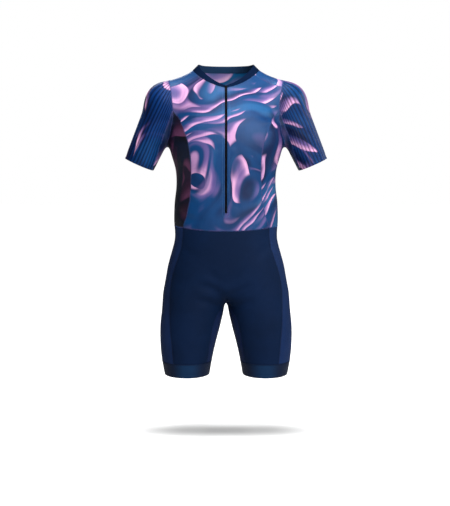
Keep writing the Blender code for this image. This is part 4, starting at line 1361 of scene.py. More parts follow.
@dataclass(frozen=True)
class FlowPrint:
    """A generic flowing print on stretch jersey: a sea ground with smeared pink ribbons.

    A flow number rises across the ribbons and is bent by soft noise. Each ribbon is a sawtooth
    of it: sharp on the one side, and fading from pink over mauve into the ground on the other.
    """

    name: str
    lean: float = 40.0
    rate: float = 7.0
    bend: float = 2.4
    fineness: float = 1.0
    shift: tuple[float, float, float] = (0.0, 0.0, 0.0)
    phase: float = 0.0
    ground: tuple = tone(3, 60, 112)
    deep: tuple = tone(2, 26, 68)
    light: tuple = tone(36, 96, 148)
    mauve: tuple = tone(126, 96, 158)
    pink: tuple = tone(238, 178, 218)
    # Power for the paler reverse: partly the cloth's own paler back, partly painted light inside the
    # neck.
    reverse_power_with_painted_light: float = 0.78
    cover: float = 0.5
    roughness: float = 0.42
    specular: float = 0.26
    # How many ribs go round the piece, with painted shade in their valleys; none if 0.
    ribs: int = 0

    def colour(self, graph: Graph) -> Socket:
        """Draw the print.

        Args:
            graph: The material's nodes.

        Returns:
            The colour.
        """
        scale = (self.fineness,) * 3
        turned = graph.moved(graph.place(), self.shift, (0.0, self.lean, 0.0), scale)
        parts = graph.add("ShaderNodeSeparateXYZ", {"Vector": turned}).outputs
        wide = graph.noise(turned, 3.6, 0.0)
        close = graph.noise(turned, 11.0, 0.0)
        flow = graph.math("MULTIPLY_ADD", parts[2], self.rate, self.phase)
        flow = graph.math("MULTIPLY_ADD", wide, 2.0 * self.bend, flow)
        flow = graph.math("MULTIPLY_ADD", close, 0.34 * self.bend, flow)
        along = graph.math("MULTIPLY_ADD", wide, 2.0, parts[0])
        inputs = {"X": flow, "Y": along, "Z": parts[1]}
        smear = graph.add("ShaderNodeCombineXYZ", inputs).outputs[0]

        def smeared(scale: tuple[float, float, float], offset: float) -> Socket:
            """Noise that is long along the ribbons and short across them."""
            source = graph.moved(smear, (offset, offset, 0.0), (0.0, 0.0, 0.0), scale)
            return graph.noise(source, 1.0, 1.0)

        depth = graph.rise(smeared((0.9, 3.0, 4.0), 0.0), 0.34, 0.60)
        colour = graph.mix(depth, self.deep, self.ground)
        glow = graph.rise(smeared((0.7, 3.4, 4.0), 7.3), 0.50, 0.74)
        colour = graph.mix(graph.math("MULTIPLY", glow, 0.7), colour, self.light)

        grain = graph.rise(smeared((7.0, 2.0, 4.0), 3.1), 0.30, 0.68)
        for shift, low, pale in ((0.0, 0.60, 1.0), (0.43, 0.66, 0.7)):
            there = smeared((0.55, 4.6, 5.0), 11.0 + 9.0 * shift)
            there = graph.rise(there, low - 0.25 * self.cover, low + 0.11 - 0.25 * self.cover)
            tooth = graph.math("FRACT", graph.math("ADD", flow, shift))
            wander = graph.math("MULTIPLY_ADD", smeared((0.8, 5.0, 4.0), 5.0), 1.9, 0.10)
            tooth = graph.math("MULTIPLY", tooth, wander)
            edge = graph.rise(tooth, 0.0, 0.028)
            veil = graph.math("SUBTRACT", 1.0, graph.rise(tooth, 0.10, 0.62))
            core = graph.math("SUBTRACT", 1.0, graph.rise(tooth, 0.05, 0.30))
            core = graph.math("MULTIPLY", core, graph.math("MULTIPLY_ADD", grain, 0.45, 0.55))
            drawn = graph.math("MULTIPLY", edge, there)
            veil = graph.math("MULTIPLY", graph.math("MULTIPLY", veil, drawn), 0.9)
            core = graph.math("MULTIPLY", graph.math("MULTIPLY", core, drawn), pale)
            colour = graph.mix(veil, colour, self.mauve)
            colour = graph.mix(core, colour, self.pink)
        return colour

    def material(self) -> Material:
        """The material: the print, paler on the cloth's reverse partly as painted light, its knit with
        painted shade between the loops, and painted shade in its ribs' valleys.

        Returns:
            The material.
        """
        graph = Graph(self.name, self.roughness, self.specular)
        colour = graph.reverse(self.colour(graph), self.reverse_power_with_painted_light)
        knit = graph.knit(0.0011, 0.0009)
        streak = graph.add("ShaderNodeUVMap", {}, uv_map="cloth").outputs[0]
        streak = graph.moved(streak, (0, 0, 0), (0, 0, 0), (420.0, 16.0, 1.0))
        faint = graph.noise(streak, 1.0, 1.0)
        shade = graph.math("MULTIPLY_ADD", faint, 0.22, 0.89)
        # The knit's height also darkens the colour between its loops: painted shade.
        shade = graph.math("MULTIPLY", shade, graph.math("MULTIPLY_ADD", knit, 0.18, 0.86))
        # Painted shade: the colour darkens in the valleys between the sleeve's ribs.
        if self.ribs:
            share = graph.map_of("share")[0]
            cell = graph.math("FRACT", graph.math("MULTIPLY", share, float(self.ribs)))
            side = graph.math("ABSOLUTE", graph.math("SUBTRACT", cell, 0.5))
            rib_valley_painted_shade = graph.rise(side, 0.16, 0.40)
            shade = graph.math("MULTIPLY", shade, graph.math("MULTIPLY_ADD", rib_valley_painted_shade, -0.62, 1.04))
        uneven = graph.noise(graph.place(), 60.0, 2.0)
        graph.bump((knit, 0.00011), (uneven, 0.0004))
        graph.finish(graph.shade(colour, shade))
        return graph.material


@dataclass(frozen=True)
class PlainKnit:
    """A plain matt stretch jersey, a little uneven, with its loops."""

    name: str
    colour: tuple
    other: tuple
    roughness: float = 0.66
    specular: float = 0.08
    # Power for a paler reverse, partly the knit's own back and partly painted light inside the neck; 1
    # leaves it.
    reverse_power_with_painted_light: float = 1.0
    wale: float = 0.0010

    def material(self) -> Material:
        """The material: two close tones in soft clouds, and knit loops with painted shade between them.

        Returns:
            The material.
        """
        graph = Graph(self.name, self.roughness, self.specular)
        cloud = graph.noise(graph.place(), 7.0, 3.0)
        colour = graph.mix(graph.rise(cloud, 0.35, 0.66), self.colour, self.other)
        colour = graph.reverse(colour, self.reverse_power_with_painted_light)
        knit = graph.knit(self.wale, self.wale * 0.8)
        speck = graph.noise(graph.place(), 900.0, 1.0)
        shade = graph.math("MULTIPLY_ADD", speck, 0.30, 0.85)
        # The knit's height also darkens the colour between its loops: painted shade.
        shade = graph.math("MULTIPLY", shade, graph.math("MULTIPLY_ADD", knit, 0.22, 0.82))
        uneven = graph.noise(graph.place(), 45.0, 2.0)
        graph.bump((knit, 0.00010), (uneven, 0.0005))
        graph.finish(graph.shade(colour, shade))
        return graph.material


@dataclass(frozen=True)
class BandElastic:
    """A leg band that fades from blue in front to navy, with fine ribs round it."""

    name: str = "band_elastic_fade"
    front: tuple = tone(11, 45, 80)
    navy: tuple = tone(9, 24, 50)
    centre_share: float = 0.17
    reach: float = 0.15

    def material(self) -> Material:
        """The material: the fade by share of the way round, and ribs by height, darker between them as
        painted shade.

        Returns:
            The material.
        """
        graph = Graph(self.name, 0.55, 0.12)
        share = graph.map_of("share")[0]
        apart = graph.math("ABSOLUTE", graph.math("SUBTRACT", share, self.centre_share))
        fade = graph.math("SUBTRACT", 1.0, graph.rise(apart, 0.02, self.reach))
        cloud = graph.noise(graph.place(), 20.0, 2.0)
        fade = graph.math("MULTIPLY", fade, graph.math("MULTIPLY_ADD", cloud, 0.5, 0.7))
        colour = graph.mix(fade, self.navy, self.front)
        knit = graph.knit(0.0013, 0.0013)
        # The ribs' height also darkens the colour between them: painted shade.
        shade = graph.math("MULTIPLY_ADD", knit, 0.25, 0.80)
        graph.bump((knit, 0.00014), (cloud, 0.0004))
        graph.finish(graph.shade(colour, shade), 0.02, tone(120, 150, 200))
        return graph.material


@dataclass(frozen=True)
class ThreadFinish:
    """Sewing thread with a twist and a slight change of tone along it."""

    name: str
    colour: tuple
    other: tuple

    def material(self) -> Material:
        """The material: two tones by place and a fine twist as a bump.

        Returns:
            The material.
        """
        graph = Graph(self.name, 0.6, 0.12)
        change = graph.noise(graph.place(), 35.0, 2.0)
        colour = graph.mix(graph.rise(change, 0.35, 0.65), self.colour, self.other)
        twist = graph.noise(graph.place(), 2600.0, 1.0)
        graph.bump((twist, 0.00008))
        graph.finish(colour)
        return graph.material


@dataclass(frozen=True)
class TapeWeave:
    """Black woven zip tape: warp and weft as crossed waves."""

    name: str = "zip_tape_weave"
    colour: tuple = tone(8, 9, 15)
    other: tuple = tone(20, 22, 32)
    thread: float = 0.0006

    def material(self) -> Material:
        """The material: the height is a sine across times a sine along, and the colour follows it,
        darker in the hollows as painted shade.

        Returns:
            The material.
        """
        graph = Graph(self.name, 0.70, 0.06)
        across, up = graph.map_of("cloth")
        turns = 2.0 * math.pi / self.thread
        warp = graph.math("SINE", graph.math("MULTIPLY", across, turns))
        weft = graph.math("SINE", graph.math("MULTIPLY", up, turns))
        weave = graph.math("MULTIPLY_ADD", graph.math("MULTIPLY", warp, weft), 0.5, 0.5)
        graph.bump((weave, 0.00010))
        # The colour follows the weave's height: painted shade in its hollows, lighter on its crossings.
        graph.finish(graph.mix(weave, self.colour, self.other))
        return graph.material


@dataclass(frozen=True)
class BlackMoulding:
    """Black moulded plastic, slightly rubbed."""

    name: str
    colour: tuple = tone(7, 8, 13)
    rubbed: tuple = tone(24, 26, 36)
    roughness: float = 0.4
    specular: float = 0.1

    def material(self) -> Material:
        """The material: rubbed flecks in noise, and a little orange peel.

        Returns:
            The material.
        """
        graph = Graph(self.name, self.roughness, self.specular)
        wear = graph.noise(graph.place(), 420.0, 3.0)
        colour = graph.mix(graph.rise(wear, 0.60, 0.74), self.colour, self.rubbed)
        peel = graph.noise(graph.place(), 1500.0, 2.0)
        graph.bump((peel, 0.00005))
        graph.finish(colour)
        return graph.material


# Cloth


@dataclass
class Cloth:
    """Makes cloth pieces: lays a sheet's creases in, gives it a wall, and logs its cut."""

    creases: Creases
    wall: float = 0.0010
    roll: float = 0.00028
    gap: float = 0.00001
    stretch: float = 1.05

    def shell(
        self,
        name: str,
        sheet: Sheet,
        material: Material,
        slot: str,
        node: str,
        wall: float | None = None,
        raised: Array | float = 0.0,
        spread_width: float | None = None,
    ) -> bpy.types.Object:
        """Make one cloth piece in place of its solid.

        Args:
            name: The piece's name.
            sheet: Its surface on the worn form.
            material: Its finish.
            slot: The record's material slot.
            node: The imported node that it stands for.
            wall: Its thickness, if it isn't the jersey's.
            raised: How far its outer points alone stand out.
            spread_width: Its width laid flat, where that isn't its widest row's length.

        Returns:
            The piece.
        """
        lifted = self.creases.lift(sheet.points)[:, None] * sheet.inwards
        creased = replace(sheet, points=sheet.points - lifted).drawn_in(self.gap)
        points, faces, chart = creased.wall(wall or self.wall, raised, self.roll)
        piece = make_piece(name, points, faces, material, slot, node, chart, sharp=60.0)
        width, length = sheet.flat_size()
        cut = ((spread_width or width) / self.stretch, length)
        area = min(sheet.area() / self.stretch, cut[0] * cut[1])
        LOG.info("%s is cut %.0f x %.0f mm, %.4f m2", name, 1000 * cut[0], 1000 * cut[1], area)
        return piece

    def both(
        self,
        name: str,
        sheet: Sheet,
        materials: tuple[Material, Material],
        slot: str,
        **more: Array | float,
    ) -> None:
        """Make the same piece left and right, in nodes that are named like the slot."""
        for side, twin, material in zip(("left", "right"), (sheet, sheet.mirrored()), materials):
            self.shell(f"{name}_{side}", twin, material, slot, f"{slot}_{side}", **more)


def on_form(grid: Array, flip: bool = False, grain: bool = False) -> Sheet:
    """A sheet from a grid on the form, with close lines inside its rims."""
    grid = edged(grid)
    return Sheet.from_grid(grid, -FORM.outward(grid), flip, grain)


@dataclass
class Jersey:
    """The torso: front and back panels and the two side panels."""

    seams: SeamPlan
    front_print: FlowPrint = FlowPrint("print_front", 35.0, fineness=1.5, shift=(8.3, 0.5, 0.62))
    back_print: FlowPrint = FlowPrint(
        "print_back", -40.0, fineness=1.35, shift=(2.7, 0.4, 0.9), phase=0.5, cover=0.6
    )
    side_prints: tuple[FlowPrint, FlowPrint] = (
        FlowPrint("print_side_left", 62.0, fineness=1.3, shift=(4.9, 0.2, 1.3)),
        # The right side panel's print is darkened all over. This is painted shade for the side turned
        # away from the key lamp.
        FlowPrint(
            "print_side_right_painted_shade", -70.0, shift=(4.9, 0.2, 1.3),
            ground=tone(7, 18, 42), deep=tone(3, 6, 18), light=tone(22, 18, 38),
            mauve=tone(58, 26, 52), pink=tone(104, 58, 92),
        ),
    )

    def front(self) -> Sheet:
        """The front panel: a half between centre, side seam, waist and shoulder, mirrored.

        Returns:
            Its surface.
        """
        seams, fine = self.seams, self.seams.fine
        fly = np.linspace(
            seams.waist_front_z, seams.zip_end_z - seams.slit_half, seams.fly_rows * fine + 1
        )
        rows = seams.slit_rows * fine + fine - 1
        slit = np.linspace(seams.zip_end_z, seams.neck_front_z, rows + 1)
        below = plumb(0.0, fly)
        below[0] = seams["waist_front"][0]
        beside = plumb(seams.slit_half, slit)
        beside[-1] = seams["neck_front"][0]
        left = join(np.concatenate((below, beside)), seams["neck_front"])
        right = join(seams["side_front"], seams["arm_front"])
        grid = patch(seams["waist_front"], seams["shoulder"], left, right)
        return on_form(grid, grain=True).with_mirror()

    def back(self) -> Sheet:
        """The back panel, which comes forward over the shoulders.

        Returns:
            Its surface.
        """
        seams, fine = self.seams, self.seams.fine
        top = seams["neck_back"][-1]
        heights = np.linspace(seams.waist_back_z, top[2], seams.back_rise * fine + 1)
        centre = plumb(0.0, heights, Face.BACK)
        centre[0], centre[-1] = seams["waist_back"][0], top
        left = join(centre, seams["neck_back"][::-1])
        right = join(seams["side_back"], seams["arm_back"][::-1])
        grid = patch(seams["waist_back"], seams["shoulder"], left, right)
        return on_form(grid, flip=True, grain=True).with_mirror()

    def build(self, cloth: Cloth) -> None:
        """Make the four panels.

        Args:
            cloth: What makes the cloth pieces.
        """
        front = self.front_print.material()
        cloth.shell("jersey_front", self.front(), front, "front_panel", "front_panel")
        back = self.back_print.material()
        cloth.shell("jersey_back", self.back(), back, "back_panel", "back_panel")
        seams = self.seams
        grid = patch(seams["waist_side"], seams["arm_low"], seams["side_front"], seams["side_back"])
        prints = tuple(one.material() for one in self.side_prints)
        cloth.both("jersey_side", on_form(grid), prints, "side_panel")


@dataclass
class Sleeves:
    """Ribbed sleeves, and the plain panels under the arms."""

    seams: SeamPlan
    ribs: int = 24
    steps_in_rib: int = 6
    rib_height: float = 0.0011
    under_spread: float = 0.136
    rib_width: float = 0.30
    prints: tuple[FlowPrint, FlowPrint] = (
        FlowPrint(
            "print_sleeve_left", 64.0, shift=(1.3, 0.4, 2.7), phase=0.5,
            ground=tone(5, 46, 100), deep=tone(2, 20, 62), light=tone(14, 70, 128),
            cover=0.4, specular=0.12, ribs=24,
        ),
        FlowPrint(
            "print_sleeve_right", -50.0, shift=(6.3, 0.1, 2.2),
            ground=tone(5, 48, 106), deep=tone(2, 22, 66), light=tone(14, 74, 134),
            cover=0.4, specular=0.12, ribs=24,
        ),
    )
    under_print: FlowPrint = FlowPrint(
        "print_underarm", 20.0, shift=(6.3, 0.1, 2.2), cover=0.6,
        ground=tone(8, 30, 68), deep=tone(4, 12, 34), light=tone(16, 44, 90),
    )

    def sleeve(self) -> tuple[Sheet, Array]:
        """The sleeve's surface and the lift of its ribs.

        A rib is a squared half wave over a share of its pitch. The lift dies out at the seams
        under the arm as a sine of the way round, and at the hem and the armhole.

        Returns:
            The sheet, and the lift at each of its points.
        """
        seams = self.seams
        top = join(seams["arm_front"], seams["arm_back"])
        steps = self.ribs * self.steps_in_rib
        top = spread(top, steps)
        bottom = seams.sleeve_hem(seams.underarm_turn, -seams.underarm_turn, steps)
        grid = even_patch(bottom, top, seams["under_front"][::-1], seams["under_back"][::-1])
        column = np.linspace(0.0, 1.0, steps + 1)[None] * np.ones((grid.shape[0], 1))
        row = np.linspace(0.0, 1.0, grid.shape[0])[:, None] * np.ones((1, steps + 1))
        apart = np.abs(column * self.ribs % 1.0 - 0.5) / self.rib_width
        ridge = np.cos(np.minimum(apart, 1.0) * math.pi / 2.0) ** 1.5
        fade = np.minimum(1.0, 3.0 * np.sin(math.pi * column))
        fade = fade * np.clip(row * 12.0, 0.0, 1.0) * np.clip((1.0 - row) * 10.0, 0.0, 1.0)
        lift = edged((self.rib_height * ridge * fade)[..., None])[..., 0]
        return on_form(grid), lift.ravel()

    def build(self, cloth: Cloth) -> None:
        """Make both sleeves and both panels under the arms.

        Args:
            cloth: What makes the cloth pieces.
        """
        seams = self.seams
        sheet, lift = self.sleeve()
        prints = tuple(one.material() for one in self.prints)
        cloth.both("ribbed_sleeve", sheet, prints, "sleeve", raised=lift)
        start, end = seams.underarm_turn, 2.0 * math.pi - seams.underarm_turn
        hem = seams.sleeve_hem(start, end, len(seams["arm_low"]) - 1)
        sides = (seams["under_front"][::-1], seams["under_back"][::-1])
        grid = arm_patch(hem, seams["arm_low"], *sides)
        sheet = on_form(grid, flip=True)
        prints = (self.under_print.material(),) * 2
        cloth.both("underarm_jersey", sheet, prints, "underarm", spread_width=self.under_spread)


@dataclass
class Shorts:
    """The shorts: front, back, sides, the piece between the legs, and the leg bands."""

    seams: SeamPlan
    navy: PlainKnit = PlainKnit("knit_navy", tone(5, 25, 54), tone(7, 29, 61))
    side: PlainKnit = PlainKnit("knit_navy_side", tone(19, 40, 79), tone(24, 46, 89))
    # The piece between the legs has a lighter navy of its own, darkened further as painted shade in the
    # fork.
    inner: PlainKnit = PlainKnit("knit_navy_inner_and_shade", tone(18, 34, 70), tone(23, 39, 78))
    elastic: BandElastic = BandElastic()
    band_wall: float = 0.0016
    band_rows: int = 12

    def half(self, name: str, face: Face, height: float) -> Array:
        """The grid of half the front or back, from the leg band up to the waist.

        Args:
            name: Which half, front or back.
            face: Where its centre line lies.
            height: Height of the waist at the centre.

        Returns:
            The grid.
        """
        seams = self.seams
        heights = np.linspace(seams.fork_z, height, seams.seat_rows * seams.fine + 1)
        centre = plumb(0.0, heights, face)
        centre[0], centre[-1] = seams["inseam_" + name][-1], seams["waist_" + name][0]
        left = join(seams["inseam_" + name], centre)
        bottom = seams["band_" + name]
        if face is Face.BACK:
            bottom = bottom[::-1]
        return patch(bottom, seams["waist_" + name], left, seams["shorts_" + name])

    def band(self) -> Sheet:
        """The leg band as a ring from the seam down to the hem.

        Returns:
            Its surface.
        """
        seams = self.seams
        parts = [seams["band_" + part] for part in ("front", "side", "back", "inner")]
        top = join(*parts)
        centre = FORM.leg_axis
        turn = np.arctan2(top[:, 1] - centre[1], top[:, 0] - centre[0])
        share = np.linspace(0.0, 1.0, self.band_rows + 1)[:-1, None]
        height = seams.hem_z + share * (top[None, :, 2] - seams.hem_z)

        def place(t: Array) -> Array:
            """Points of the rays at the given reach."""
            around = (centre[0] + t * np.cos(turn), centre[1] + t * np.sin(turn))
            return np.stack((*around, height), -1)

        grid = np.concatenate((FORM.last_inside(place, np.full(height.shape, 0.2)), top[None]))
        return Sheet.from_grid(grid, -FORM.outward(grid)).closed_round(grid.shape[1])

    def build(self, cloth: Cloth) -> None:
        """Make every piece of the shorts.

        Args:
            cloth: What makes the cloth pieces.
        """
        seams = self.seams
        navy, sides = self.navy.material(), (self.side.material(),) * 2
        front = on_form(self.half("front", Face.FRONT, seams["waist_front"][0, 2]), grain=True)
        cloth.shell("shorts_front_cloth", front.with_mirror(), navy, "shorts", "shorts_front")
        back = on_form(self.half("back", Face.BACK, seams["waist_back"][0, 2]), True, True)
        cloth.shell("shorts_back_cloth", back.with_mirror(), navy, "shorts", "shorts_back")
        bottom, top = (spread(seams[name], 48) for name in ("band_side", "waist_side"))
        grid = patch(bottom, top, seams["shorts_front"], seams["shorts_back"])
        cloth.both("shorts_side_cloth", on_form(grid), sides, "shorts_side")
        bottom = seams["band_inner"][::-1]
        grid = patch(bottom, seams["crotch"], seams["inseam_front"], seams["inseam_back"])
        inner = on_form(grid, flip=True).with_mirror()
        cloth.shell("gusset_cloth", inner, self.inner.material(), "shorts_side", "gusset")
        elastic = (self.elastic.material(),) * 2
        cloth.both("leg_band", self.band(), elastic, "gripper", wall=self.band_wall)


@dataclass
class Collar:
    """The band collar, low at the zip, which leans in towards the neck."""

    seams: SeamPlan
    rows: int = 8
    wall: float = 0.0019
    roll: float = 0.0005
    # By turn round the neck: its width and how far it leans in, in degrees.
    shape: Rows = (
        (-90.0, 0.0085, 30.0), (-75.0, 0.012, 34.0), (-50.0, 0.018, 42.0), (0.0, 0.024, 45.0),
        (90.0, 0.022, 24.0),
    )
    # Its reverse is paler: partly the knit's own back, partly painted light inside the neck.
    knit: PlainKnit = PlainKnit(
        "knit_collar", tone(4, 19, 43), tone(7, 24, 52), 0.75, specular=0.02, reverse_power_with_painted_light=0.64
    )

    def rise(self, line: Array) -> tuple[Array, Array]:
        """Its width, and the way it rises, up by the cosine of its lean and in by the sine.

        Args:
            line: The neckline.

        Returns:
            Width and way at each of its points.
        """
        centre = self.seams.neck_centre
        turn = np.degrees(np.arctan2(line[:, 1] - centre, line[:, 0]))
        width, lean = smooth_table(self.shape, turn)
        lean = np.radians(lean)
        inner = unit(np.stack((-line[:, 0], centre - line[:, 1]), -1))
        way = np.concatenate((inner * np.sin(lean)[:, None], np.cos(lean)[:, None]), axis=1)
        return width, way

    def sheet(self) -> Sheet:
        """Its surface: the neckline carried along its rise.

        Returns:
            The surface.
        """
        line = join(self.seams["neck_front"], self.seams["neck_back"])
        width, way = self.rise(line)
        chest = FORM.outward(line)
        face = unit(np.cross(np.gradient(line, axis=0), way))
        face = face * np.sign((face * chest).sum(-1, keepdims=True))
        part = np.linspace(0.0, 1.0, self.rows + 1)[:, None, None]
        grid = line[None] + part * (width[:, None] * way)[None]
        inwards = np.repeat(-face[None], self.rows + 1, axis=0)
        inwards[0] = -unit(chest + face)
        grid[:, -1, 0] = 0.0
        return Sheet.from_grid(edged(grid), unit(edged(inwards))).with_mirror()

    def build(self, cloth: Cloth) -> None:
        """Make the collar."""
        firm = replace(cloth, wall=self.wall, roll=self.roll)
        firm.shell("collar_band", self.sheet(), self.knit.material(), "collar", "collar")


# Sewing


@dataclass
class Sewing:
    """Threads along the seams: flat stitches in rows, and bars that cross between the rows."""

    creases: Creases
    proud: float = 0.00012
    thread: float = 0.00024
    stitch: float = 0.0023
    pitch: float = 0.0028
    row_apart: float = 0.0016
    bar_pitch: float = 0.0015
    bar_slant: float = 0.4
    starts: list[Array] = field(default_factory=list)
    ends: list[Array] = field(default_factory=list)

    def row(self, line: Array, aside: float = 0.0) -> None:
        """Sew one row of stitches beside a line on the form.

        Args:
            line: The line.
            aside: How far beside it.
        """
        run = run_length(line)
        at = np.arange(self.pitch / 2.0, run[-1] - self.stitch, self.pitch)
        moved = self.beside(line, aside)
        self.starts.append(read(at, run, moved))
        self.ends.append(read(at + self.stitch, run, moved))

    def bars(self, line: Array) -> None:
        """Sew bars that cross the seam on the slant, from one row over to the other.

        Args:
            line: The seam.
        """
        run = run_length(line)
        at = np.arange(self.bar_pitch, run[-1] - self.bar_pitch, self.bar_pitch)
        self.starts.append(read(at, run, self.beside(line, -self.row_apart)))
        at = at + self.bar_slant * self.bar_pitch
        self.ends.append(read(at, run, self.beside(line, self.row_apart)))

    def flatlock(self, line: Array) -> None:
        """Sew a flat seam: two rows with bars between them.

        Args:
            line: The seam.
        """
        self.row(line, -self.row_apart)
        self.row(line, self.row_apart)
        self.bars(line)

    def beside(self, line: Array, aside: float) -> Array:
        """The line moved sideways on the form, across its own way and the form's normal.

        Args:
            line: The line.
            aside: How far it moves.

        Returns:
            The moved line.
        """
        if aside == 0.0:
            return line
        across = np.cross(FORM.outward(line), np.gradient(line, axis=0))
        return line + aside * unit(across)

    def mirror(self) -> None:
        """Sew on the right side what has been sewn on the left."""
        for found in (self.starts, self.ends):
            found.extend([part * MIRROR for part in found])

    def build(self, name: str, finish: ThreadFinish, slot: str) -> bpy.types.Object:
        """Make one piece of all that has been sewn.

        Each stitch is a grain: a square ring near both ends, drawn to a point at each.

        Args:
            name: The piece's name.
            finish: The thread's finish.
            slot: The record's material slot.

        Returns:
            The piece.
        """
        ends = []
        for found in (self.starts, self.ends):
            points = np.concatenate(found)
            normal = FORM.outward(points)
            lift = self.creases.lift(points) + self.proud
            ends.append((points + lift[:, None] * normal, normal))
        (start, up), (end, _) = ends
        along = end - start
        across = unit(np.cross(up, along))
        shares = np.array((0.0, 0.16, 0.16, 0.16, 0.16, 0.84, 0.84, 0.84, 0.84, 1.0))
        sides = np.array((0, 1, 0, -1, 0, 1, 0, -1, 0, 0)) * self.thread
        heights = np.array((-0.4, 0.0, 1.0, 0.0, -1.0, 0.0, 1.0, 0.0, -1.0, -0.4)) * self.thread
        points = start[:, None] + shares[None, :, None] * along[:, None]
        points = points + sides[None, :, None] * across[:, None]
        points = points + heights[None, :, None] * up[:, None]
        turns = ((0, 1), (1, 2), (2, 3), (3, 0))
        grain = [(0, 1 + b, 1 + a) for a, b in turns] + [(9, 5 + a, 5 + b) for a, b in turns]
        grain += [(1 + a, 1 + b, 5 + b, 5 + a) for a, b in turns]
        first = 10 * np.arange(len(start))[:, None]
        faces = [face for corners in grain for face in (first + corners).tolist()]
        flat = points.reshape(-1, 3)
        return make_piece(name, flat, faces, finish.material(), slot, sharp=80.0)


@dataclass
class SeamWork:
    """Which seams are sewn, and in which thread."""

    seams: SeamPlan
    creases: Creases
    pale: ThreadFinish = ThreadFinish("thread_pale", tone(44, 78, 128), tone(78, 72, 122))
    navy: ThreadFinish = ThreadFinish("thread_navy", tone(12, 24, 50), tone(16, 30, 60))
    dark: ThreadFinish = ThreadFinish("thread_dark", tone(24, 34, 66), tone(34, 46, 84))
    blue: ThreadFinish = ThreadFinish("thread_blue", tone(70, 122, 176), tone(52, 100, 158))
    neck_aside: float = -0.0026
    zip_aside: float = 0.0105
    zip_thread: float = 0.00028
    zip_below_neck: float = 0.003
    zip_box_z: float = -0.412
    box_rows_apart: float = 0.003
    edge_aside: float = 0.0055

    def build(self) -> None:
        """Sew the jersey, sleeves, shorts, hems, collar and zip."""
        arm = ("side_front", "side_back", "arm_front", "arm_back", "arm_low", "shoulder")
        waist = ("waist_front", "waist_side", "waist_back")
        under = ("under_front", "under_back")
        leg = ("shorts_front", "shorts_back", "inseam_front", "inseam_back")
        band = ("band_front", "band_side", "band_back", "band_inner")
        for name, thread, slot, sewn in (
            ("seam_threads_jersey", self.pale, "front_panel", arm + waist),
            ("seam_threads_sleeves", self.pale, "sleeve", under),
            ("seam_threads_shorts", self.navy, "shorts", leg + band),
        ):
            sewing = Sewing(self.creases)
            for seam in sewn:
                sewing.flatlock(self.seams[seam])
            sewing.mirror()
            sewing.build(name, thread, slot)
        neck = Sewing(self.creases)
        for seam in ("neck_front", "neck_back"):
            neck.row(self.seams[seam], self.neck_aside)
        neck.mirror()
        neck.build("seam_threads_neck", self.dark, "collar")
        self.zip_rows()

    def zip_rows(self) -> None:
        """Sew the rows beside the zip, and the box that they close below it."""
        seams = self.seams
        sewing = Sewing(self.creases, thread=self.zip_thread)
        heights = np.linspace(self.zip_box_z, seams.neck_front_z - self.zip_below_neck, 160)
        for aside, low in ((self.zip_aside, self.zip_box_z), (self.edge_aside, seams.zip_end_z)):
            sewing.row(plumb(aside, heights[heights >= low]))
        sewing.mirror()
        across = np.linspace(-self.zip_aside, self.zip_aside, 30)
        for height in (self.zip_box_z, self.zip_box_z - self.box_rows_apart):
            places = np.stack((across, np.full(30, height)), -1)
            sewing.row(FORM.lay(Face.FRONT, places))
        sewing.build("zip_topstitching", self.blue, "front_panel")


# Zip


def grown_block(halves: tuple[float, float, float], power: float, turns: int) -> tuple:
    """A block with rounded corners: a ball's directions, each reached out to a power's box.

    The reach is the sum of the direction's parts to the power, to minus one over the power.

    Args:
        halves: Half sizes across, deep and along.
        power: How square it is.
        turns: Steps round it.

    Returns:
        Points and faces, four-sided but for the fans at both ends.
    """
    rings = turns // 2
    around = np.arange(turns) * 2.0 * math.pi / turns
    up = np.linspace(-math.pi / 2.0, math.pi / 2.0, rings + 1)[1:-1, None]
    way = np.stack(
        (np.cos(up) * np.cos(around), np.cos(up) * np.sin(around), np.sin(up) + 0.0 * around), -1
    ).reshape(-1, 3)
    way = np.concatenate((way, ((0.0, 0.0, -1.0), (0.0, 0.0, 1.0))))
    reach = (np.abs(way) ** power).sum(-1) ** (-1.0 / power)
    points = way * reach[:, None] * np.array(halves)
    faces = tube_faces(rings - 1, turns)[:-2]
    south = len(points) - 2
    top = south - turns
    for turn in range(turns):
        after = (turn + 1) % turns
        faces += [(south, after, turn), (south + 1, top + turn, top + after)]
    return points, faces


def blocks_at(middles: Array, out: Array, up: Array, block: Array, shape: list) -> tuple:
    """Copies of a block, each with its depth and its length turned to given ways.

    Args:
        middles: The copies' middles.
        out: Way of each copy's depth.
        up: Way of its length.
        block: The block's points.
        shape: Its faces.

    Returns:
        Points and faces, turned over because the depth's way is reversed.
    """
    points = middles[:, None] + block[None, :, :1] * ACROSS
    points = points + block[None, :, 1:2] * out[:, None] + block[None, :, 2:] * up[:, None]
    starts = range(0, len(middles) * len(block), len(block))
    faces = [tuple(start + i for i in face[::-1]) for start in starts for face in shape]
    return points.reshape(-1, 3), faces


def tube_faces(rows: int, columns: int) -> list:
    """Faces of a tube made of rings, with a cap at both ends.

    Args:
        rows: How many rings it has.
        columns: How many points a ring has.

    Returns:
        The faces.
    """
    index = np.arange(rows * columns).reshape(rows, columns)
    after = np.roll(index, -1, axis=1)
    sides = np.stack((index[:-1], after[:-1], after[1:], index[1:]), -1).reshape(-1, 4)
    return sides.tolist() + [index[0][::-1].tolist(), index[-1].tolist()]


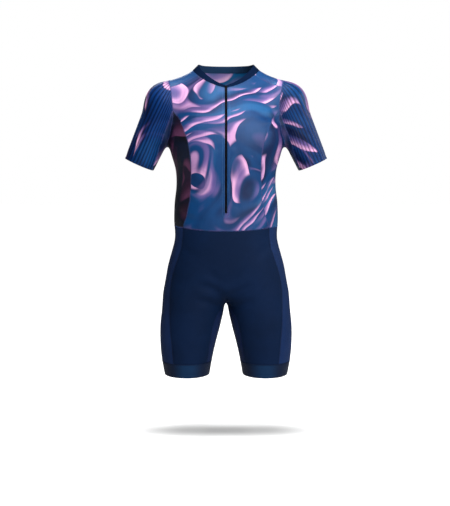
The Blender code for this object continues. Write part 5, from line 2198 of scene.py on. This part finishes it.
@dataclass
class Zip:
    """The zip: woven tape, moulded teeth, stop, slider and its hinged pull."""

    seams: SeamPlan
    tape_half: float = 0.012
    tape_wall: float = 0.0008
    tape_behind: float = 0.0019
    tape_roll: float = 0.0002
    tooth_pitch: float = 0.0016
    tooth_halves: tuple[float, float, float] = (0.00155, 0.00085, 0.00036)
    tooth_aside: float = 0.00098
    tooth_gap: float = 0.0008
    chain_proud: float = 0.0003
    slider_at: tuple[float, float, float] = (0.0, -0.07368, -0.04615)
    slider_lean: float = 0.4757
    slider_top: float = -0.0524
    stop_length: float = 0.006
    stop_halves: tuple[float, float, float] = (0.0025, 0.00095, 0.0028)
    plate_near: float = 0.0008
    plate_wall: float = 0.0016
    post_halves: tuple[float, float, float] = (0.0020, 0.0016, 0.0035)
    post_at: tuple[float, float, float] = (0.0, 0.0002, 0.0015)
    bridge_reach: float = 0.0029
    bridge_sunk: float = 0.0004
    bridge_wire: tuple[float, float] = (0.0007, 0.0005)
    # Place along the slider's plate and half width there.
    plate_shape: Rows = (
        (-0.0060, 0.0026), (-0.0052, 0.0032), (-0.0020, 0.0033), (0.0010, 0.0038), (0.0040, 0.0040),
        (0.0055, 0.0032), (0.0060, 0.0022),
    )
    axis_out: float = 0.0036
    pull_length: float = 0.0240
    pull_half: float = 0.0030
    pull_wall: float = 0.0012
    lower_round: float = 0.003
    upper_round: float = 0.0022
    eye: float = 0.0050
    eye_end: float = 0.0006
    rail: float = 0.0012
    pull_roll: float = 0.00018
    grip: tuple[float, float] = (-0.0225, -0.0085)
    grip_half: float = 0.0021
    grip_fade: float = 0.001
    grip_side_fade: float = 0.0006
    rib_pitch: float = 0.0024
    rib_height: float = 0.00022
    tape: TapeWeave = TapeWeave()
    teeth: BlackMoulding = BlackMoulding("zip_teeth_black")
    moulding: BlackMoulding = BlackMoulding("zip_slider_black", roughness=0.5, specular=0.05)

    def centre(self, heights: Array) -> tuple[Array, Array]:
        """The middle of the slit and the way out of it at given heights.

        Args:
            heights: The heights.

        Returns:
            Places, and the way out at each.
        """
        line = plumb(self.seams.slit_half, heights)
        out = FORM.outward(line)
        line[:, 0] = out[:, 0] = 0.0
        return line, unit(out)

    def placed(self, points: Array) -> Array:
        """Turn points about the slider's lean and move them to its place.

        Args:
            points: Points about the slider's own centre.

        Returns:
            The points in place.
        """
        cos, sin = math.cos(-self.slider_lean), math.sin(-self.slider_lean)
        x, y, z = points.T
        turned = np.stack((x, cos * y - sin * z, sin * y + cos * z), -1)
        return turned + np.array(self.slider_at)

    def build_tape(self) -> None:
        """Make the tape: the front panel's own surface by the slit, carried behind it."""
        seams = self.seams
        heights = np.linspace(seams.zip_end_z, seams.neck_front_z, 100)
        across = np.linspace(0.0, self.tape_half, 7)
        places = np.stack(np.meshgrid(across, heights), -1)
        grid = FORM.lay(Face.FRONT, places)
        grid[:, 0, 0] = 0.0
        ways = -FORM.outward(grid)
        ways[:, 0, 0] = 0.0
        half = Sheet.from_grid(grid + self.tape_behind * ways, ways)
        sheet = half.with_mirror()
        points, faces, chart = sheet.wall(self.tape_wall, roll=self.tape_roll)
        material = self.tape.material()
        piece = make_piece("zip_tape_cloth", points, faces, material, "zip_tape", "zip_tape", chart)
        width, length = half.flat_size()
        # The area times 0.999 is worked out here, and not kept. The area is kept a hair
        # under the width times the length.
        sheet.area() * 0.999

    def build_teeth(self) -> None:
        """Make the teeth: rounded bars from both sides, in turn, past the middle."""
        low = self.seams.zip_end_z + self.stop_length + self.tooth_gap
        heights = np.arange(low, self.slider_top, self.tooth_pitch / 2.0)
        line, out = self.centre(heights)
        up = unit(np.gradient(line, axis=0))
        side = np.where(np.arange(len(line)) % 2 == 0, 1.0, -1.0)
        middle = line + (self.chain_proud - self.tooth_halves[1]) * out
        middle[:, 0] = side * self.tooth_aside
        teeth = blocks_at(middle, out, up, *grown_block(self.tooth_halves, 4.0, 8))
        make_piece("zip_teeth", *teeth, self.teeth.material(), "zip", "zip_chain", sharp=80.0)

    def build_stop(self, material: Material) -> None:
        """Make the stop at the zip's lower end, a rounded block.

        Args:
            material: Its finish.
        """
        middle_z = self.seams.zip_end_z + self.stop_length / 2.0
        line, out = self.centre(middle_z + np.array((-0.001, 0.0, 0.001)))
        up = unit(line[2:] - line[:1])
        middle = line[1:2] + (self.chain_proud - self.stop_halves[1]) * out[1:2]
        stop = blocks_at(middle, out[1:2], up, *grown_block(self.stop_halves, 6.0, 24))
        make_piece("zip_end_stop", *stop, material, "zip", "zip_stop")

    def plate(self) -> tuple[Array, list]:
        """The slider's plate, whose rounded edge follows its half widths.

        Rows go along the plate and columns across it. The depth at a column is the half wall
        times the fourth root of one minus the column's share to the fourth.

        Returns:
            Points and faces of a closed plate.
        """
        dense = smooth_line(self.plate_shape, 28)
        share = np.sin(np.linspace(-math.pi / 2.0, math.pi / 2.0, 13))
        half = self.plate_wall / 2.0
        middle = -self.plate_near - half
        rise = np.maximum(1.0 - share ** 4, 0.0) ** 0.25 * half
        ends = np.maximum(1.0 - np.linspace(-1.0, 1.0, len(dense)) ** 12, 0.0) ** 0.25
        across = dense[:, 1:2] * share[None]
        along = np.repeat(dense[:, :1], len(share), axis=1)
        depth = ends[:, None] * rise[None]
        outer = np.stack((across, middle - depth, along), -1)
        inner = np.stack((across, middle + depth, along), -1)[:, ::-1]
        loop = np.concatenate((outer, inner[:, 1:-1]), axis=1)
        return loop.reshape(-1, 3), tube_faces(*loop.shape[:2])

    def bridge(self) -> tuple[Array, list]:
        """The slider's bridge: a round bar carried along a squarish arch.

        Returns:
            Points and faces of the closed bar.
        """
        rings, sides = 21, 10
        turn = np.linspace(0.0, math.pi, rings)
        shape = (np.abs(np.cos(turn)) ** 5 + np.abs(np.sin(turn)) ** 5) ** -0.2
        foot = -(self.plate_near + self.plate_wall) + self.bridge_sunk
        rise = (self.bridge_reach + self.bridge_sunk) * np.sin(turn) * shape
        reach = self.bridge_reach * np.cos(turn) * shape
        path = np.stack((np.zeros(rings), foot - rise, reach), -1)
        out = np.cross(ACROSS[None], unit(np.gradient(path, axis=0)))
        around = np.arange(sides) * 2.0 * math.pi / sides
        wide, deep = self.bridge_wire
        ring = wide * np.cos(around)[None, :, None] * ACROSS
        ring = ring + deep * np.sin(around)[None, :, None] * out[:, None]
        return (path[:, None] + ring).reshape(-1, 3), tube_faces(rings, sides)

    def build_slider(self, material: Material) -> None:
        """Make the slider: a shouldered plate, its post behind and its bridge in front.

        Args:
            material: Its finish.
        """
        post, post_faces = grown_block(self.post_halves, 6.0, 16)
        post = post + np.array(self.post_at)
        points, faces = np.zeros((0, 3)), []
        for part, shape in (self.plate(), (post, post_faces), self.bridge()):
            faces.extend([tuple(len(points) + i for i in face) for face in shape])
            points = np.concatenate((points, part))
        placed = self.placed(points)
        piece = make_piece("zip_slider_body", placed, faces, material, "zip", "zip_slider", sharp=40.0)
        face_out(piece)

    def build_pull(self, material: Material) -> None:
        """Make the pull: a tab with an eye round the bridge and a ribbed grip.

        The tab is a sheet with the eye left out of it. Its half width narrows in a slow wave
        towards the middle and rounds off at both ends.

        Args:
            material: Its finish.
        """
        end = self.eye_end
        body = np.linspace(-self.pull_length, -self.eye, 25)
        eye, rim = np.linspace(-self.eye, -end, 7), np.linspace(-end, end, 4)
        rows = np.concatenate((body, eye[1:], rim[1:]))
        share = (rows - rows[0]) / (rows[-1] - rows[0])
        half = self.pull_half * (1.0 - 0.10 * np.sin(math.pi * share) ** 2)
        lower = np.clip((rows - rows[0]) / self.lower_round, 0.0, 1.0)
        upper = np.clip((rows[-1] - rows) / self.upper_round, 0.0, 1.0)
        half = half * np.sqrt(np.maximum(1.0 - 0.55 * (1.0 - lower) ** 2, 0.0))
        half = half * np.sqrt(np.maximum(1.0 - 0.30 * (1.0 - upper) ** 2, 0.0))
        inner = (self.pull_half - self.rail) / self.pull_half
        rail = np.linspace(inner, 1.0, 4)
        columns = np.concatenate((-rail[::-1], np.linspace(-inner, inner, 9)[1:-1], rail))
        across = half[:, None] * columns[None]
        along = np.repeat(rows[:, None], len(columns), axis=1)
        grid = np.stack((across, np.full(across.shape, -self.pull_wall / 2.0), along), -1)
        sheet = Sheet.from_grid(grid, np.broadcast_to((0.0, 1.0, 0.0), grid.shape))
        middle = sheet.points[sheet.faces].mean(axis=1)
        in_eye = (middle[:, 2] > -self.eye) & (middle[:, 2] < -end)
        in_eye &= np.abs(middle[:, 0]) < self.pull_half - self.rail
        used, number = np.unique(sheet.faces[~in_eye], return_inverse=True)
        faces, chart = number.reshape(-1, 4), sheet.chart[~in_eye]
        sheet = Sheet(sheet.points[used], sheet.inwards[used], faces, chart)
        z = sheet.points[:, 2]
        low, high = self.grip
        fade = self.grip_fade
        grip = np.clip((high - z) / fade, 0.0, 1.0) * np.clip((z - low) / fade, 0.0, 1.0)
        aside = self.grip_half - np.abs(sheet.points[:, 0])
        centre = np.clip(aside / self.grip_side_fade, 0.0, 1.0)
        ripple = 0.5 + 0.5 * np.cos((z - (low + high) / 2.0) * 2.0 * math.pi / self.rib_pitch)
        raised = self.rib_height * ripple * grip * centre
        points, faces, _ = sheet.wall(self.pull_wall, raised, self.pull_roll)
        points = self.placed(points - np.array((0.0, self.axis_out, 0.0)))
        make_piece(
            "zip_pull_tab", points, faces, material, "zip", "zip_pull", sharp=40.0, body=Body.PULL
        )

    def build(self) -> None:
        """Make the whole zip."""
        self.build_tape()
        self.build_teeth()
        moulding = self.moulding.material()
        self.build_stop(moulding)
        self.build_slider(moulding)
        self.build_pull(moulding)


def face_out(piece: bpy.types.Object) -> None:
    """Turn a closed piece's faces outwards.

    Args:
        piece: The piece.
    """
    shape = bmesh.new()
    shape.from_mesh(piece.data)
    bmesh.ops.recalc_face_normals(shape, faces=shape.faces)
    shape.to_mesh(piece.data)
    shape.free()


# Studio


@dataclass(frozen=True)
class SoftBox:
    """An area light that looks at the suit, square or a strip across."""

    name: str
    place: tuple[float, float, float]
    target: tuple[float, float, float]
    size: float
    power: float
    depth_share: float = 1.0

    def build(self) -> None:
        """Make the light, turned so that its -Z axis meets the target."""
        data = bpy.data.lights.new(self.name, "AREA")
        data.shape = "RECTANGLE"
        data.size = self.size
        data.size_y = self.size * self.depth_share
        data.energy = self.power
        lamp = bpy.data.objects.new(self.name, data)
        lamp.location = self.place
        way = Vector(self.target) - Vector(self.place)
        lamp.rotation_euler = way.to_track_quat("-Z", "Y").to_euler()
        bpy.context.collection.objects.link(lamp)


@dataclass
class Studio:
    """The camera, a white floor with a painted shadow, a white background, and soft lights."""

    lens: float = 85.0
    sensor: float = 36.0
    camera_at: tuple[float, float, float] = (-0.003, -3.524, -0.0956)
    pitch: float = -7.06
    floor_z: float = -1.073
    floor_half: float = 7.0
    flat_reach: float = 5.0
    far_rise: float = 0.02
    ambient: float = 0.13
    # Half sizes of the painted shadow's ellipse on the floor.
    painted_shadow_half: tuple[float, float] = (0.34, 0.12)
    boxes: tuple[SoftBox, ...] = (
        SoftBox("key_right", (1.3, -1.7, 0.5), (0.05, 0.0, -0.2), 1.6, 47.0),
        SoftBox("fill_front", (0.5, -2.9, 0.0), (0.0, 0.0, -0.4), 1.4, 16.0),
        SoftBox("neck", (-0.1, -0.9, 0.6), (0.0, 0.08, -0.02), 0.4, 8.0),
        SoftBox("top", (0.0, 0.0, 2.0), (0.0, 0.0, -1.0), 1.5, 46.0, 0.2),
        SoftBox("rim_right", (1.6, 0.7, 0.3), (0.1, 0.0, -0.3), 0.8, 8.0),
        SoftBox("back", (-0.5, 2.6, 0.7), (0.0, 0.0, -0.4), 1.3, 26.0),
    )

    def camera(self) -> None:
        """Make the camera where the photograph was taken from."""
        data = bpy.data.cameras.new("camera")
        data.lens = self.lens
        data.sensor_fit = "VERTICAL"
        data.sensor_height = self.sensor
        data.clip_end = 60.0
        seat = bpy.data.objects.new("camera", data)
        seat.location = self.camera_at
        seat.rotation_euler = (math.radians(90.0 + self.pitch), 0.0, 0.0)
        bpy.context.collection.objects.link(seat)
        bpy.context.scene.camera = seat

    def floor(self) -> None:
        """Make the pale floor, a grid that rises slowly towards its far edges.

        It glows white for the camera but for an ellipse under the suit: a painted shadow, where the
        top lamp's own shadow also falls.
        """
        count = 41
        side = np.linspace(-self.floor_half, self.floor_half, count)
        x, y = np.meshgrid(side, side)
        far = np.maximum(np.hypot(x, y) - self.flat_reach, 0.0)
        points = np.stack((x, y, self.floor_z + self.far_rise * far ** 2), -1).reshape(-1, 3)
        mesh = bpy.data.meshes.new("studio_floor")
        mesh.from_pydata(points.tolist(), [], grid_faces(count, count).tolist())
        mesh.shade_smooth()
        graph = Graph("studio_white_painted_shadow", 0.9, 0.1)
        speck = graph.noise(graph.place(), 3.0, 1.0)
        pale = graph.mix(speck, (0.50, 0.50, 0.50, 1.0), (0.52, 0.52, 0.52, 1.0))
        graph.finish(pale)
        # Painted shadow: the camera-only glow fades out in an ellipse under the suit.
        place = graph.add("ShaderNodeSeparateXYZ", {"Vector": graph.place()}).outputs
        beside = graph.math("POWER", graph.math("DIVIDE", place[0], self.painted_shadow_half[0]), 4.0)
        ahead = graph.math("DIVIDE", place[1], self.painted_shadow_half[1])
        away = graph.math("SQRT", graph.math("MULTIPLY_ADD", ahead, ahead, beside))
        glow = graph.rise(away, 0.05, 1.0)
        seen = graph.tree.nodes.new("ShaderNodeLightPath").outputs["Is Camera Ray"]
        glow = graph.math("MULTIPLY", glow, seen)
        graph.shader.inputs["Emission Color"].default_value = (1.0, 1.0, 1.0, 1.0)
        graph.wire(graph.shader.inputs["Emission Strength"], glow)
        mesh.materials.append(graph.material)
        floor = bpy.data.objects.new("studio_floor", mesh)
        bpy.context.collection.objects.link(floor)

    def world(self) -> None:
        """Make a white world that is seen at full and lights the suit at a part of it."""
        world = bpy.data.worlds.new("studio_world")
        bpy.context.scene.world = world
        world.use_nodes = True
        tree = world.node_tree
        seen, lit = tree.nodes["Background"], tree.nodes.new("ShaderNodeBackground")
        white, cool = (1.0, 1.0, 1.0, 1.0), (0.96, 0.98, 1.0, 1.0)
        for node, colour, strength in ((seen, white, 1.0), (lit, cool, self.ambient)):
            node.inputs["Color"].default_value = colour
            node.inputs["Strength"].default_value = strength
        ray = tree.nodes.new("ShaderNodeLightPath")
        either = tree.nodes.new("ShaderNodeMixShader")
        tree.links.new(ray.outputs["Is Camera Ray"], either.inputs[0])
        tree.links.new(lit.outputs[0], either.inputs[1])
        tree.links.new(seen.outputs[0], either.inputs[2])
        tree.links.new(either.outputs[0], tree.nodes["World Output"].inputs["Surface"])

    def build(self) -> None:
        """Set up everything round the suit."""
        self.camera()
        self.floor()
        self.world()
        for box in self.boxes:
            box.build()
        view = bpy.context.scene.view_settings
        view.view_transform = "Standard"
        view.look = "None"


def main() -> None:
    """Build the studio, then every piece of the suit."""
    logging.basicConfig(level=logging.INFO, format="%(message)s")
    Studio().build()
    seams = SeamPlan()
    creases = Creases()
    cloth = Cloth(creases)
    Jersey(seams).build(cloth)
    Sleeves(seams).build(cloth)
    Shorts(seams).build(cloth)
    Collar(seams).build(cloth)
    SeamWork(seams, creases).build()
    Zip(seams).build()


if __name__ == "__main__":
    main()
